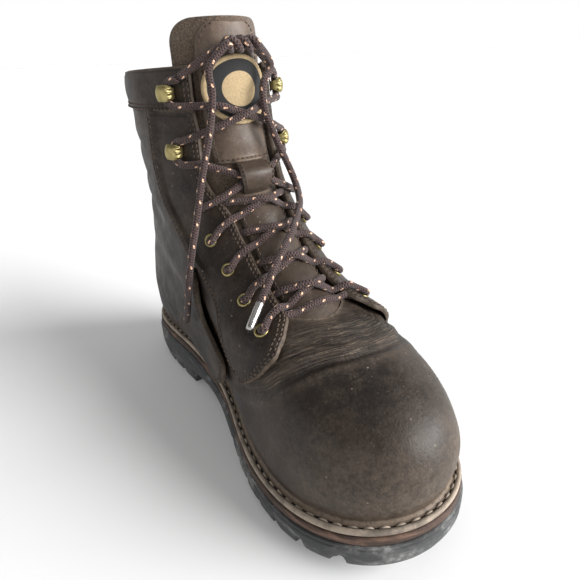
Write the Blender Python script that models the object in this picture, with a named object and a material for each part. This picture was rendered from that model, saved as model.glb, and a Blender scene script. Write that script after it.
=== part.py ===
"""Left lace-up hunting boot, standing empty on its sole.

Tables and named sizes are in millimetres and degrees, and MM turns them into metres. The toe points
along -Y, +X is the lateral side and -X the medial side. A place on the boot is a level, which counts
the rings of RINGS from the sole up, and a turn, the angle round a ring from its front, lateral positive.
"""

import math

import bmesh
import bpy
import numpy as np

MM = 0.001

# Rings of the upper's outer face, from the sole to the top of the tongue. follow is how far a ring
# takes on the sole's rise and fall, and the last four columns are half widths before the ends close in.
RING_COLUMNS = ("front_y", "front_z", "back_y", "back_z", "follow", "toe", "ball", "waist", "heel")
RINGS = (
    (-149, 37, 149, 38, 1.0, 78, 54.5, 37, 78),  # feather line
    (-152, 49, 151, 52, 1.0, 82, 57.5, 42, 80),  # side wall
    (-151, 64, 152, 72, 0.8, 80, 57.0, 44, 78),  # toe front
    (-141, 80, 151, 92, 0.6, 68, 54.0, 44, 72),  # toe shoulder
    (-117, 92, 149, 108, 0.5, 46, 50.0, 44, 64),  # toe top
    (-84, 99, 146, 121, 0.4, 41, 46.0, 44, 58),  # vamp
    (-52, 110, 142, 134, 0.2, 40, 44.0, 42, 54),  # throat
    (-20, 133, 138, 152, 0.0, 38, 42.0, 41, 48),  # instep
    (8, 164, 135, 176, 0.0, 39, 41.0, 41, 43),  # ankle
    (20, 198, 135, 202, 0.0, 41, 42.0, 42, 42),  # cuff seam
    (24, 234, 138, 230, 0.0, 41, 41.5, 41.5, 41.5),  # collar
    (25, 262, 141, 258, 0.0, 41, 42.0, 42, 42),  # top of the tongue
)
WIDTH_AT = (0.0, 0.3, 0.6, 1.0)  # shares of a ring's length where the four half widths hold

# Sole line and the last's bend
TOE_Y = -149.0
BALL_Y = -55.0
BED_Z = 25.0
TOE_SPRING = 12.0
HEEL_LIFT = 13.0
LIFT_FROM_Y = -40.0
LIFT_TO_Y = 75.0
TOE_SWING = 4.0
WAIST_TUCK = 0.14
WAIST_AT = 0.53
WAIST_REACH = 0.16

# Walls, layers and clearances
WALL = 2.2
CLEAR = 0.3
LAYER_CLEAR = 0.75
LAYER = 1.6
CUFF_LAYER = 2.6
TONGUE_DEPTH = 3.2
TONGUE_PUFF = 2.2
PUFF_FROM = 5.62
PUFF_OVER = 0.4
TONGUE_LAYER = 2.4

# Sole layers
WELT_GROW = 6.0
WELT_INSET = 9.0
WELT_LAYER = 3.6
MIDSOLE_GROW = 6.6
MIDSOLE_LAYER = 5.4
OUTSOLE_GROW = 7.2
RIB_GROW = 0.8
TREAD_INSET = 2.0
INSOLE_INSET = 3.4
INSOLE_LAYER = 4.0
ARCH_FRONT_Y = -8.0
ARCH_TOP_Y = 26.0
HEEL_BREAST_Y = 62.0
ARCH_RISE = 10.5
HEEL_SLANT = 5.0
LUG_DEPTH = 5.5
LUG_GAP = 5.0
LUG_TURN = 14.0
SPINE_HALF = 13.0
FOREFOOT_LUGS = (-132.0, -114.0, -96.0, -78.0, -60.0, -42.0, -24.0)
HEEL_LUGS = (82.0, 100.0, 118.0, 136.0)

# The throat opens above this level, and the facing's front edge bounds it
THROAT_LEVEL = 5.6
# Facing: level, turn of its front edge, turn of its rear edge
FACING = (
    (2.85, 66.0, 75.0),
    (3.3, 60.0, 77.0),
    (4.0, 50.0, 75.0),
    (4.8, 39.0, 71.0),
    (5.6, 28.0, 70.0),
    (6.2, 27.5, 72.0),
    (7.0, 28.5, 77.0),
    (7.8, 33.0, 83.0),
    (8.6, 36.5, 79.0),
    (9.3, 35.0, 74.0),
    (9.97, 34.5, 71.0),
)
# Rear quarter panel: level, turn of its front edge
QUARTER = (
    (0.22, 97.0),
    (1.0, 90.0),
    (2.0, 81.0),
    (2.6, 80.0),
    (3.1, 88.0),
    (3.9, 87.0),
    (4.7, 82.5),
    (5.4, 79.0),
    (6.1, 78.5),
    (7.0, 81.0),
    (7.8, 87.0),
    (8.6, 83.0),
    (9.25, 78.0),
)
FACING_TO = 9.25
CUFF_FROM = 9.3
CUFF_TO = 10.0
SWELL_FROM = 66.0
SWELL_OVER = 20.0

# Tongue and what is sewn to it: level, turn of each edge
TONGUE = ((5.05, 46.0), (5.6, 50.0), (7.0, 52.0), (8.6, 54.0), (9.9, 52.0), (10.5, 48.0), (10.85, 36.0))
TONGUE_PAD = (
    (8.45, 25.0),
    (8.54, 29.0),
    (9.1, 30.5),
    (9.6, 30.5),
    (10.1, 30.5),
    (10.58, 30.0),
    (10.7, 26.0),
)
TONGUE_STRIP = ((5.85, 22.0), (6.1, 22.5), (6.6, 23.0), (7.1, 23.0), (7.62, 22.5), (7.75, 19.0))
PAD_LAYER = 3.0
STRIP_LAYER = 1.5
KEEPER_FROM = 7.93
KEEPER_TO = 8.4
KEEPER_HALF = 12.5
KEEPER_RISE = 9.8
KEEPER_LAYER = 1.8
PATCH_LEVEL = 9.62
PATCH_RADIUS = 19.5
PATCH_LAYER = 1.2

# Lace holders: level, turn
EYELETS = ((4.78, 48.5), (5.72, 47.0), (6.43, 47.5), (6.99, 51.0))
ANKLE_HOLE = ((7.6, 50.0),)
HOOKS = ((8.64, 53.0), (9.6, 51.0))
EYELET_RADIUS = 4.4
EYELET_BORE = 2.55
EYELET_FLANGE = 1.0
BARREL_RADIUS = 3.0
BARREL_DEPTH = 4.4
HOLE_RADIUS = 3.6
HOLE_SIDES = 8
HOOK_WIDTH = 4.6
HOOK_REACH = 4.6
HOOK_RISE = 8.6
HOOK_LAYER = 0.9
HOLDER_CLEAR = 0.45

# Lace
LACE_RADIUS = 2.2
CROSSING_STEP = 8.6
END_STEP = 13.0
LACE_LIFT = 6.0
EYELET_SEAT = 7.0
HOOK_SEAT = 3.9
# Way of the lace under the keeper, from an ankle hole to the hook across: level, turn, lift
KEEPER_PASS = (
    (7.76, 34.0, 6.2),
    (7.96, 20.0, 4.4),
    (8.1, 10.0, 3.1),
    (8.15, 0.0, 3.1),
    (8.2, -10.0, 3.1),
    (8.3, -20.0, 4.4),
    (8.42, -36.0, 6.2),
)
PATCH_PASS = 7.8
KNOT_LEVEL = 10.3
KNOT_LIFT = 10.0
KNOT_RADIUS = 2.6
KNOT_HALF = 9.5
KNOT_TURNS = 1.5
# Free ends from the knot down: level, turn, lift
MEDIAL_END = (
    (9.95, -20.0, 13.0),
    (9.5, -20.5, 12.6),
    (8.9, -26.0, 12.4),
    (8.2, -36.0, 11.8),
    (7.4, -48.5, 12.2),
    (6.6, -61.5, 10.5),
    (5.6, -74.0, 9.0),
    (4.6, -83.5, 9.0),
    (3.5, -93.5, 10.0),
    (2.6, -99.5, 11.0),
)
LATERAL_END = (
    (9.95, 20.0, 13.0),
    (9.5, 10.0, 12.8),
    (8.9, 15.0, 12.8),
    (8.4, 23.0, 12.4),
    (8.0, 29.5, 12.2),
    (7.64, 29.0, 12.2),
    (7.43, 23.0, 12.2),
    (7.1, 5.0, 12.4),
    (6.63, -15.0, 12.4),
    (6.34, -23.0, 12.2),
    (5.97, -32.0, 12.0),
    (5.5, -40.0, 12.0),
)
TIP_LENGTH = 17.0
TIP_RADIUS = 2.5


def ease(share):
    share = np.clip(share, 0, 1)
    return share * share * (3 - 2 * share)


def sole_line(y):
    """Height of the sole's top edge, where the upper meets it."""
    toe = np.clip((BALL_Y - y) / (BALL_Y - TOE_Y), 0, None)
    return BED_Z + TOE_SPRING * toe**2 + HEEL_LIFT * ease((y - LIFT_FROM_Y) / (LIFT_TO_Y - LIFT_FROM_Y))


def spline(rows, at):
    """Rows read at fractional indices along a smooth curve through them."""
    rows = np.asarray(rows, float)
    at = np.asarray(at, float)
    i = np.clip(np.floor(at).astype(int), 0, len(rows) - 2)
    t = (at - i)[..., None]
    a, b, c, d = (rows[np.clip(i + k, 0, len(rows) - 1)] for k in (-1, 0, 1, 2))
    return 0.5 * (2 * b + (c - a) * t + (2 * a - 5 * b + 4 * c - d) * t**2 + (3 * b - a - 3 * c + d) * t**3)


def ring(level):
    return dict(zip(RING_COLUMNS, np.moveaxis(spline(RINGS, level), -1, 0)))


def surface(level, turn):
    """Points of the upper's outer face, turn in radians."""
    level, turn = np.broadcast_arrays(np.asarray(level, float), np.asarray(turn, float))
    row = ring(level)
    share = (1 - np.cos(turn)) / 2
    width = 0
    for i, name in enumerate(("toe", "ball", "waist", "heel")):
        weight = 1.0
        for k in range(4):
            if k != i:
                weight = weight * (share - WIDTH_AT[k]) / (WIDTH_AT[i] - WIDTH_AT[k])
        width = width + row[name] * weight
    y = row["front_y"] + (row["back_y"] - row["front_y"]) * share
    tuck = WAIST_TUCK * row["follow"] * np.exp(-(((share - WAIST_AT) / WAIST_REACH) ** 2))
    toe = np.clip((BALL_Y - y) / (BALL_Y - TOE_Y), 0, None)
    x = np.sin(turn) * width * np.where(turn < 0, 1 - tuck, 1) - TOE_SWING * toe**2
    straight = row["front_z"] + (row["back_z"] - row["front_z"]) * share
    front_line = sole_line(row["front_y"])
    chord = front_line + (sole_line(row["back_y"]) - front_line) * share
    return np.stack([x, y, straight + row["follow"] * (sole_line(y) - chord)], -1)


def outward(level, turn):
    step = 0.001
    along = surface(level + step, turn) - surface(level - step, turn)
    across = surface(level, turn + step) - surface(level, turn - step)
    normal = np.cross(across, along)
    return normal / np.linalg.norm(normal, axis=-1, keepdims=True)


def raised(level, turn, lift):
    """Points at a lift outside the upper's outer face, turn in degrees."""
    level, turn, lift = np.broadcast_arrays(*(np.asarray(v, float) for v in (level, turn, lift)))
    turn = np.radians(turn)
    return surface(level, turn) + outward(level, turn) * lift[..., None]


def table_at(table, level):
    """The columns of a table after its first, read at levels."""
    table = np.array(table)
    return [np.interp(level, table[:, 0], column) for column in table.T[1:]]


def throat(level):
    return table_at(FACING, level)[0]


def tongue_lift(level, turn):
    """Lift of the tongue's outer face, which swells in the middle of the throat."""
    inside = np.clip(1 - (turn / (throat(np.clip(level, THROAT_LEVEL, 10)) - 3)) ** 2, 0, 1)
    return -TONGUE_DEPTH + TONGUE_PUFF * inside * ease((level - PUFF_FROM) / PUFF_OVER)


def on_tongue(extra):
    """A lift that stays a fixed height over the tongue's outer face."""

    def lift(level, turn):
        return tongue_lift(level, turn) + extra

    return lift


def sole_outline(grow, turns):
    """The feather line seen from above, grown outward."""
    points = surface(0.0, turns)
    step = 0.001
    along = (surface(0.0, turns + step) - surface(0.0, turns - step))[:, :2]
    along /= np.linalg.norm(along, axis=1, keepdims=True)
    points[:, :2] += np.stack([along[:, 1], -along[:, 0]], 1) * grow
    return points


SOLE_TURNS = np.linspace(-math.pi, math.pi, 49)[:-1]
EDGE = sole_outline(OUTSOLE_GROW + RIB_GROW, SOLE_TURNS)
CENTRE = (EDGE.min(0) + EDGE.max(0)) / 2


def clear_scene():
    for old in list(bpy.data.objects):
        bpy.data.objects.remove(old, do_unlink=True)


def make_material(name, color, roughness, metallic=0.0):
    material = bpy.data.materials.new(name)
    material.use_nodes = True
    shader = material.node_tree.nodes["Principled BSDF"]
    shader.inputs["Base Color"].default_value = (*color, 1.0)
    shader.inputs["Roughness"].default_value = roughness
    shader.inputs["Metallic"].default_value = metallic
    return material


def make_object(name, points, faces, material, smooth=True):
    """A mesh object from points in millimetres, moved so the boot stands at the origin."""
    mesh = bpy.data.meshes.new(name)
    places = (np.asarray(points, float) - (CENTRE[0], CENTRE[1], 0)) * MM
    mesh.from_pydata(places.tolist(), [], [tuple(int(i) for i in face) for face in faces])
    shape = bmesh.new()
    shape.from_mesh(mesh)
    bmesh.ops.remove_doubles(shape, verts=shape.verts, dist=0.00001)
    bmesh.ops.recalc_face_normals(shape, faces=shape.faces)
    shape.to_mesh(mesh)
    shape.free()
    if smooth:
        mesh.shade_smooth()
    made = bpy.data.objects.new(name, mesh)
    if material is not None:
        mesh.materials.append(material)
    bpy.context.scene.collection.objects.link(made)
    return made


def grid_faces(rows, columns, start=0):
    index = start + np.arange(rows * columns).reshape(rows, columns)
    return np.stack([index[:-1, :-1], index[:-1, 1:], index[1:, 1:], index[1:, :-1]], -1).reshape(-1, 4)


def thick_sheet(name, outer, inner, material):
    """A closed solid between two grids of points of the same shape."""
    rows, columns = outer.shape[:2]
    count = rows * columns
    faces = [grid_faces(rows, columns), grid_faces(rows, columns, count)[:, ::-1]]
    index = np.arange(count).reshape(rows, columns)
    rim = np.concatenate([index[0, :-1], index[:-1, -1], index[-1, :0:-1], index[:0:-1, 0]])
    following = np.roll(rim, -1)
    faces.append(np.stack([rim, rim + count, following + count, following], -1))
    points = np.concatenate([outer.reshape(-1, 3), inner.reshape(-1, 3)])
    return make_object(name, points, np.concatenate(faces), material)


def cut(target, cutter):
    cutter.hide_render = True
    cutter.display_type = "WIRE"
    change = target.modifiers.new("cut", "BOOLEAN")
    change.operation = "DIFFERENCE"
    change.solver = "EXACT"
    change.object = cutter


def ring_stack(name, rings, material, capped):
    """A solid from closed rings of points: capped by strips across, or joined last to first."""
    rings = np.array(rings)
    count, around = rings.shape[:2]
    index = np.arange(count * around).reshape(count, around)
    order = [(i, i + 1) for i in range(count - 1)] + ([] if capped else [(count - 1, 0)])
    faces = []
    for low, high in order:
        a, b = index[low], index[high]
        faces += list(zip(a, np.roll(a, -1), np.roll(b, -1), b))
    if capped:
        half = around // 2
        for loop in (index[0], index[-1]):
            loop = loop.tolist()
            for k in range(half):
                faces.append(tuple(dict.fromkeys((loop[k], loop[k + 1], loop[-k - 1], loop[-k % around]))))
    return make_object(name, rings.reshape(-1, 3), faces, material)


def level_ring(grow, drop, turns):
    points = sole_outline(grow, turns)
    points[:, 2] = sole_line(points[:, 1]) - drop
    return points


def tread_ring(grow, height, turns):
    """A ring of the outsole at a height over the tread, following the toe spring only."""
    points = sole_outline(grow, turns)
    toe = np.clip((BALL_Y - points[:, 1]) / (BALL_Y - TOE_Y), 0, None)
    points[:, 2] = height + TOE_SPRING * toe**2
    return points


def box_points(middle, size, angle):
    corner = np.array([(x, y, z) for x in (-0.5, 0.5) for y in (-0.5, 0.5) for z in (-0.5, 0.5)]) * size
    c, s = math.cos(angle), math.sin(angle)
    return corner @ np.array([(c, s, 0), (-s, c, 0), (0, 0, 1)]) + middle


BOX_FACES = np.array(
    [(0, 1, 3, 2), (4, 6, 7, 5), (0, 4, 5, 1), (2, 3, 7, 6), (0, 2, 6, 4), (1, 5, 7, 3)]
)


def build_sole(materials):
    turns = SOLE_TURNS
    welt_top = CLEAR
    midsole_top = welt_top + WELT_LAYER + CLEAR
    outsole_top = midsole_top + MIDSOLE_LAYER + CLEAR
    ring_stack(
        "welt",
        [
            level_ring(WELT_GROW, welt_top, turns),
            level_ring(WELT_GROW, welt_top + WELT_LAYER, turns),
            level_ring(-WELT_INSET, welt_top + WELT_LAYER, turns),
            level_ring(-WELT_INSET, welt_top, turns),
        ],
        materials["welt_leather"],
        False,
    )
    ring_stack(
        "midsole",
        [
            level_ring(MIDSOLE_GROW, midsole_top, turns),
            level_ring(MIDSOLE_GROW, midsole_top + MIDSOLE_LAYER, turns),
        ],
        materials["midsole_tan"],
        True,
    )
    ring_stack(
        "insole",
        [
            level_ring(-INSOLE_INSET, -INSOLE_LAYER, turns),
            level_ring(-INSOLE_INSET, 0.0, turns),
        ],
        materials["insole_cloth"],
        True,
    )
    outsole = ring_stack(
        "outsole",
        [
            level_ring(OUTSOLE_GROW, outsole_top, turns),
            level_ring(OUTSOLE_GROW, outsole_top + 2.0, turns),
            level_ring(OUTSOLE_GROW + RIB_GROW, outsole_top + 2.6, turns),
            tread_ring(OUTSOLE_GROW + RIB_GROW, 7.0, turns),
            tread_ring(OUTSOLE_GROW - TREAD_INSET, 0.0, turns),
        ],
        materials["outsole_rubber"],
        True,
    )
    profile = [(ARCH_FRONT_Y, -2.0)]
    for share in np.linspace(0, 1, 7):
        y = ARCH_FRONT_Y + (ARCH_TOP_Y - ARCH_FRONT_Y) * share
        profile.append((y, ARCH_RISE * math.sin(share * math.pi / 2)))
    profile += [(HEEL_BREAST_Y - HEEL_SLANT, ARCH_RISE), (HEEL_BREAST_Y, -2.0)]
    profile = np.array(profile)
    sides = [np.column_stack([np.full(len(profile), x), profile]) for x in (-80.0, 80.0)]
    count = len(profile)
    faces = [tuple(range(count)), tuple(range(2 * count - 1, count - 1, -1))]
    faces += [(i, i + count, (i + 1) % count + count, (i + 1) % count) for i in range(count)]
    cut(outsole, make_object("arch_cutter", np.concatenate(sides), faces, None, False))
    points, faces = [], []
    for y in FOREFOOT_LUGS + HEEL_LUGS:
        for side in (-1, 1):
            reach = 50.0
            toe = max(0.0, (BALL_Y - y) / (BALL_Y - TOE_Y))
            middle = (side * (SPINE_HALF + reach / 2), y, TOE_SPRING * toe**2 + LUG_DEPTH / 2 - 3.0)
            faces.append(BOX_FACES + len(points) * 8)
            turn = math.radians(LUG_TURN) * side * (-1 if y > 0 else 1)
            points.append(box_points(middle, (reach, LUG_GAP, LUG_DEPTH + 6.0), turn))
    cut(outsole, make_object("lug_cutter", np.concatenate(points), np.concatenate(faces), None, False))


UPPER_LEVELS = np.array((0, 0.8, 1.5, 2.1, 2.6, 3.0, 3.45, 4.0, 4.5, 5.05, 5.6, 6.2, 6.9, 7.6, 8.4, 9.2, 10))
FRONT_TURNS = (0.0, 9.5, 19.0)
SIDE_TURNS = np.array((44, 53, 62, 71, 80, 92, 106, 120, 136, 152, 166, 180))


def upper_turns(level):
    edge = float(throat(max(level, THROAT_LEVEL)))
    half = np.concatenate([FRONT_TURNS, [edge, (edge + 44) / 2], SIDE_TURNS])
    return np.concatenate([-half[:0:-1], half])[1:]


def build_upper(materials, holes):
    """One wall: full rings up to the throat, then rings that stop at the throat's two edges."""
    points, rows = [], []
    total = 0
    front = len(FRONT_TURNS)
    for side in (0.0, -WALL):
        for level in UPPER_LEVELS:
            turns = upper_turns(level)
            row = raised(level, turns, side)
            if level == 0:
                row[:, 2] = surface(0.0, np.radians(turns))[:, 2] + CLEAR
            points.append(row)
            rows.append(total + np.arange(len(turns)))
            total += len(turns)
    points = np.concatenate(points)
    count = len(UPPER_LEVELS)
    around = len(rows[0])
    middle = around // 2 - 1
    low = int(np.where(UPPER_LEVELS == THROAT_LEVEL)[0][0])
    faces = []
    open_columns = set(range(middle - front, middle + front))
    for shell in (0, 1):
        for i in range(count - 1):
            for k in range(around):
                if i >= low and k in open_columns:
                    continue
                a, b = rows[shell * count + i], rows[shell * count + i + 1]
                n = (k + 1) % around
                faces.append((a[k], a[n], b[n], b[k]))
    inner = rows[count][0]
    edges = {}
    for face in faces:
        if face[0] >= inner:
            continue
        for p, q in zip(face, face[1:] + face[:1]):
            edges[(p, q)] = edges.get((p, q), 0) + 1
    for p, q in edges:
        if (q, p) not in edges:
            faces.append((q, p, p + inner, q + inner))
    used = np.unique(np.concatenate([np.array(face) for face in faces]))
    place = {int(old): new for new, old in enumerate(used)}
    faces = [tuple(place[int(v)] for v in face) for face in faces]
    upper = make_object("upper", points[used], faces, materials["vamp_leather"])
    cut(upper, holes)
    return upper


def patch(name, material, levels, turn_pairs, columns, low, high):
    """A layer over the upper: rows of levels, from one turn to another, between two lifts."""
    share = np.linspace(0, 1, columns)
    pairs = np.array(turn_pairs)
    turns = pairs[:, :1] + (pairs[:, 1:] - pairs[:, :1]) * share
    grid = np.broadcast_to(np.array(levels)[:, None], turns.shape)
    low = low(grid, turns) if callable(low) else low
    high = high(grid, turns) if callable(high) else high
    return thick_sheet(name, raised(grid, turns, high), raised(grid, turns, low), material)


def levels_between(low, high):
    """The upper's own rows between two levels, with the two levels as ends."""
    inside = UPPER_LEVELS[(UPPER_LEVELS > low + 0.1) & (UPPER_LEVELS < high - 0.1)]
    return np.concatenate([[low], inside, [high]])


def build_panels(materials, holes):
    levels = levels_between(FACING[0][0], FACING_TO)
    front, rear = table_at(FACING, levels)
    low, high = LAYER_CLEAR, LAYER_CLEAR + LAYER
    for name, side in (("eyestay_medial", -1), ("eyestay_lateral", 1)):
        pairs = np.column_stack([front, rear]) * side
        panel = patch(name, materials["eyestay_leather"], levels, pairs, 6, low, high)
        cut(panel, holes)
    levels = levels_between(QUARTER[0][0], QUARTER[-1][0])
    front = table_at(QUARTER, levels)[0][:, None]
    rear = SIDE_TURNS[SIDE_TURNS > 100].astype(float)
    middle = np.tile(np.concatenate([rear, 360 - rear[-2::-1]]), (len(levels), 1))
    inset = (front + rear[0]) / 2
    turns = np.hstack([front, inset, middle, 360 - inset, 360 - front])
    grid = np.broadcast_to(levels[:, None], turns.shape)
    sheets = [raised(grid, turns, lift) for lift in (high, low)]
    thick_sheet("quarter", *sheets, materials["quarter_leather"])
    levels = np.linspace(CUFF_FROM, CUFF_TO, 5)
    front = throat(levels)
    pairs = np.column_stack([front, 360 - front])

    def swell(level, turn):
        share = np.clip((level - CUFF_FROM) / (CUFF_TO - CUFF_FROM), 0, 1)
        from_front = 180 - np.abs(180 - turn)
        padding = (CUFF_LAYER - LAYER) * ease((from_front - SWELL_FROM) / SWELL_OVER)
        return high + padding * np.sin(math.pi * share)

    patch("cuff", materials["cuff_leather"], levels, pairs, 17, low, swell)


def build_tongue(materials):
    levels = np.array((5.05, 5.6, 6.1, 6.6, 7.1, 7.6, 8.1, 8.6, 9.1, 9.6, 10.1, 10.5, 10.85))
    half = table_at(TONGUE, levels)[0]
    pairs = np.column_stack([-half, half])
    leather = materials["tongue_leather"]
    patch("tongue", materials["tongue_cloth"], levels, pairs, 11, on_tongue(-TONGUE_LAYER), tongue_lift)
    for name, table, layer, columns in (
        ("tongue_pad", TONGUE_PAD, PAD_LAYER, 8),
        ("tongue_strip", TONGUE_STRIP, STRIP_LAYER, 6),
    ):
        levels, half = np.array(table).T
        pairs = np.column_stack([-half, half])
        patch(name, leather, levels, pairs, columns, on_tongue(LAYER_CLEAR), on_tongue(LAYER_CLEAR + layer))
    levels = np.linspace(KEEPER_FROM, KEEPER_TO, 7)
    pairs = np.tile((-KEEPER_HALF, KEEPER_HALF), (len(levels), 1))

    def arch(level, turn):
        share = np.clip((level - KEEPER_FROM) / (KEEPER_TO - KEEPER_FROM), 0, 1)
        return tongue_lift(level, turn) + LAYER_CLEAR + KEEPER_RISE * np.sin(math.pi * share) ** 0.6

    def over(level, turn):
        return arch(level, turn) + KEEPER_LAYER

    patch("keeper", leather, levels, pairs, 4, arch, over)
    angles = np.linspace(0, 2 * math.pi, 21)[:-1]
    row = ring(PATCH_LEVEL)
    per_level = float(ring(PATCH_LEVEL + 0.5)["front_z"] - ring(PATCH_LEVEL - 0.5)["front_z"])
    rings = []
    lift = -TONGUE_DEPTH + TONGUE_PUFF + LAYER_CLEAR + PAD_LAYER + LAYER_CLEAR
    for radius, height in ((0.0, 0), (0.55, 0), (1.0, 0), (1.0, 1), (0.55, 1), (0.0, 1)):
        level = PATCH_LEVEL + np.sin(angles) * radius * PATCH_RADIUS / per_level
        turn = np.degrees(np.arcsin(np.cos(angles) * radius * PATCH_RADIUS / float(row["toe"])))
        sag = tongue_lift(level, turn) - tongue_lift(level, turn * 0)
        rings.append(raised(level, turn, lift + sag + height * PATCH_LAYER))
    ring_stack("patch", rings, materials["patch_cloth"], False)


def holder_frame(level, turn):
    """The foot of a lace holder on the eyestay, and its axes: toward the throat, up the facing, outward."""
    foot = raised(level, turn, LAYER_CLEAR + LAYER)
    up_axis = outward(level, math.radians(turn))
    side = 1 if turn > 0 else -1
    toward = raised(level, turn - side, 0.0) - raised(level, turn + side, 0.0)
    toward -= up_axis * (toward @ up_axis)
    toward /= np.linalg.norm(toward)
    along = np.cross(toward, up_axis) * side
    return foot, toward, along, up_axis


def turned(frame, profile, sides):
    """Rings round a holder's outward axis from a profile of radius and height."""
    foot, toward, along, up_axis = frame
    angles = np.linspace(0, 2 * math.pi, sides + 1)[:-1, None]
    spoke = np.cos(angles) * toward + np.sin(angles) * along
    return [foot + spoke * radius + up_axis * height for radius, height in profile]


def holder_places(table):
    return [(level, turn * side, i, side) for i, (level, turn) in enumerate(table) for side in (-1, 1)]


def build_hole_cutter():
    points, faces = [], []
    for level, turn, _, _ in holder_places(EYELETS + ANKLE_HOLE):
        profile = ((HOLE_RADIUS, -8.0), (HOLE_RADIUS, 5.0))
        bottom, top = turned(holder_frame(level, turn), profile, HOLE_SIDES)
        low = len(points) * 2 * HOLE_SIDES + np.arange(HOLE_SIDES)
        high = low + HOLE_SIDES
        points.append(np.concatenate([bottom, top]))
        faces += [tuple(low), tuple(high[::-1])]
        faces += list(zip(low, np.roll(low, -1), np.roll(high, -1), high))
    return make_object("eyelet_hole_cutter", np.concatenate(points), faces, None, False)


def build_holders(materials):
    names = {-1: "medial", 1: "lateral"}
    lift = HOLDER_CLEAR
    profile = (
        (EYELET_BORE, lift + EYELET_FLANGE),
        (EYELET_RADIUS * 0.85, lift + EYELET_FLANGE),
        (EYELET_RADIUS, lift),
        (BARREL_RADIUS, lift),
        (BARREL_RADIUS, -BARREL_DEPTH),
        (EYELET_BORE, -BARREL_DEPTH),
    )
    for level, turn, i, side in holder_places(EYELETS):
        rings = turned(holder_frame(level, turn), profile, HOLE_SIDES)
        ring_stack(f"eyelet_{names[side]}_{i + 1}", rings, materials["antique_brass"], False)
    bend = np.array(
        [
            (-HOOK_REACH * 0.8, HOLDER_CLEAR, 0.75),
            (HOOK_REACH * 0.45, HOLDER_CLEAR, 0.75),
            (HOOK_REACH * 0.8, 1.2, 0.5),
            (HOOK_REACH * 0.95, HOOK_RISE * 0.55, 0.45),
            (HOOK_REACH * 0.75, HOOK_RISE * 0.9, 0.75),
            (HOOK_REACH * 0.3, HOOK_RISE * 1.08, 0.95),
            (-HOOK_REACH * 0.35, HOOK_RISE * 1.05, 1.0),
            (-HOOK_REACH * 0.8, HOOK_RISE * 0.92, 0.8),
            (-HOOK_REACH, HOOK_RISE * 0.78, 0.45),
        ]
    )
    run = np.gradient(bend[:, :2], axis=0)
    run /= np.linalg.norm(run, axis=1, keepdims=True)
    inner = bend[:, :2] + np.column_stack([-run[:, 1], run[:, 0]]) * HOOK_LAYER
    across = np.linspace(-1, 1, 5)
    for level, turn, i, side in holder_places(HOOKS):
        foot, toward, along, up_axis = holder_frame(level, turn)
        grids = []
        for profile in (bend[:, :2], inner):
            width = bend[:, 2:] * HOOK_WIDTH * across
            dome = np.where(bend[:, 1:2] > HOOK_RISE * 0.7, -1.1 * across**2, 0.0)
            height = profile[:, 1:] + dome
            grid = profile[:, :1, None] * toward + height[..., None] * up_axis + width[..., None] * along
            grids.append(grid + foot)
        thick_sheet(f"hook_{names[side]}_{i + 1}", grids[0], grids[1], materials["antique_brass"])


def on_front(place):
    """The level and turn on the instep and shaft front nearest a place, square to the front's slope."""
    x, y, z = place
    levels = np.linspace(4, 10.9, 700)
    turn = np.arcsin(np.clip(x / ring(levels)["toe"], -0.98, 0.98))
    for _ in range(3):
        turn = turn + (x - surface(levels, turn)[:, 0]) / ring(levels)["toe"]
    points = surface(levels, turn)
    slope = math.radians(45)
    for _ in range(4):
        c, s = math.cos(slope), math.sin(slope)
        level = float(np.interp(y * c + z * s, points[:, 1] * c + points[:, 2] * s, levels))
        low, high = ring(level - 0.2), ring(level + 0.2)
        slope = math.atan2(high["front_z"] - low["front_z"], high["front_y"] - low["front_y"])
    return level, float(np.degrees(np.interp(level, levels, turn)))


def across(start, finish, shares, lift):
    """Points over the tongue and facings, on the straight way from one place to another."""
    start, finish = np.asarray(start), np.asarray(finish)
    found = []
    for share, height in zip(shares, np.broadcast_to(lift, len(shares))):
        place = start + (finish - start) * share
        level, turn = on_front(place)
        found.append(raised(level, turn, height))
    return found


def hook_stops(level, turn):
    """Places of the lace round a hook's neck, from its lower to its upper side."""
    foot, toward, along, up_axis = holder_frame(level, turn)
    steps = ((7.5, -7.2), (3.2, -6.4), (-0.9, -2.8), (-0.9, 2.8), (3.2, 6.4), (7.5, 7.2))
    return [foot + toward * a + along * b + up_axis * HOOK_SEAT for a, b in steps]


def lace_route(side):
    """Half of the lace up to its last hook. The half that starts medially takes in the bottom bar."""
    mirror = np.array((-1.0, 1, 1))
    holes = EYELETS + ANKLE_HOLE
    stops = [[raised(level, turn, EYELET_SEAT)] for level, turn in holes]
    stops += [hook_stops(level, turn) for level, turn in HOOKS]
    ground = [raised(level, turn, 0.0) for level, turn in holes + HOOKS]
    route = []
    if side < 0:
        far = stops[0][0] + (stops[0][0] - stops[0][0] * mirror) * 0.03
        bar = across(ground[0], ground[0] * mirror, (0.14, 0.26, 0.38, 0.5, 0.62, 0.74, 0.86), LACE_LIFT)
        route = [far] + bar
    for i, stop in enumerate(stops):
        flip = 1 if side > 0 else mirror
        route += [place * flip for place in (stop if i + 1 < len(stops) else stop[:-1])]
        if i + 1 < len(stops):
            ahead = ground[i + 1] * mirror
            if i + 1 == len(holes):
                way = [raised(level, turn, lift) for level, turn, lift in KEEPER_PASS]
            elif i + 1 > len(holes):
                way = across(ground[i], ahead, (0.3, 0.4, 0.5, 0.6, 0.7), PATCH_PASS)
            else:
                way = across(ground[i], ahead, (0.14, 0.26, 0.38, 0.5, 0.62, 0.74, 0.86), LACE_LIFT)
            route += [place * flip for place in way]
        side = -side
    return np.array(route)


def smooth_route(points, spacing):
    points = np.asarray(points, float)
    fine = spline(points, np.linspace(0, len(points) - 1, 60 * len(points)))
    along = np.concatenate([[0], np.cumsum(np.linalg.norm(np.diff(fine, axis=0), axis=1))])
    at = np.linspace(0, along[-1], max(2, round(along[-1] / spacing) + 1))
    return np.column_stack([np.interp(at, along, column) for column in fine.T])


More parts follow.
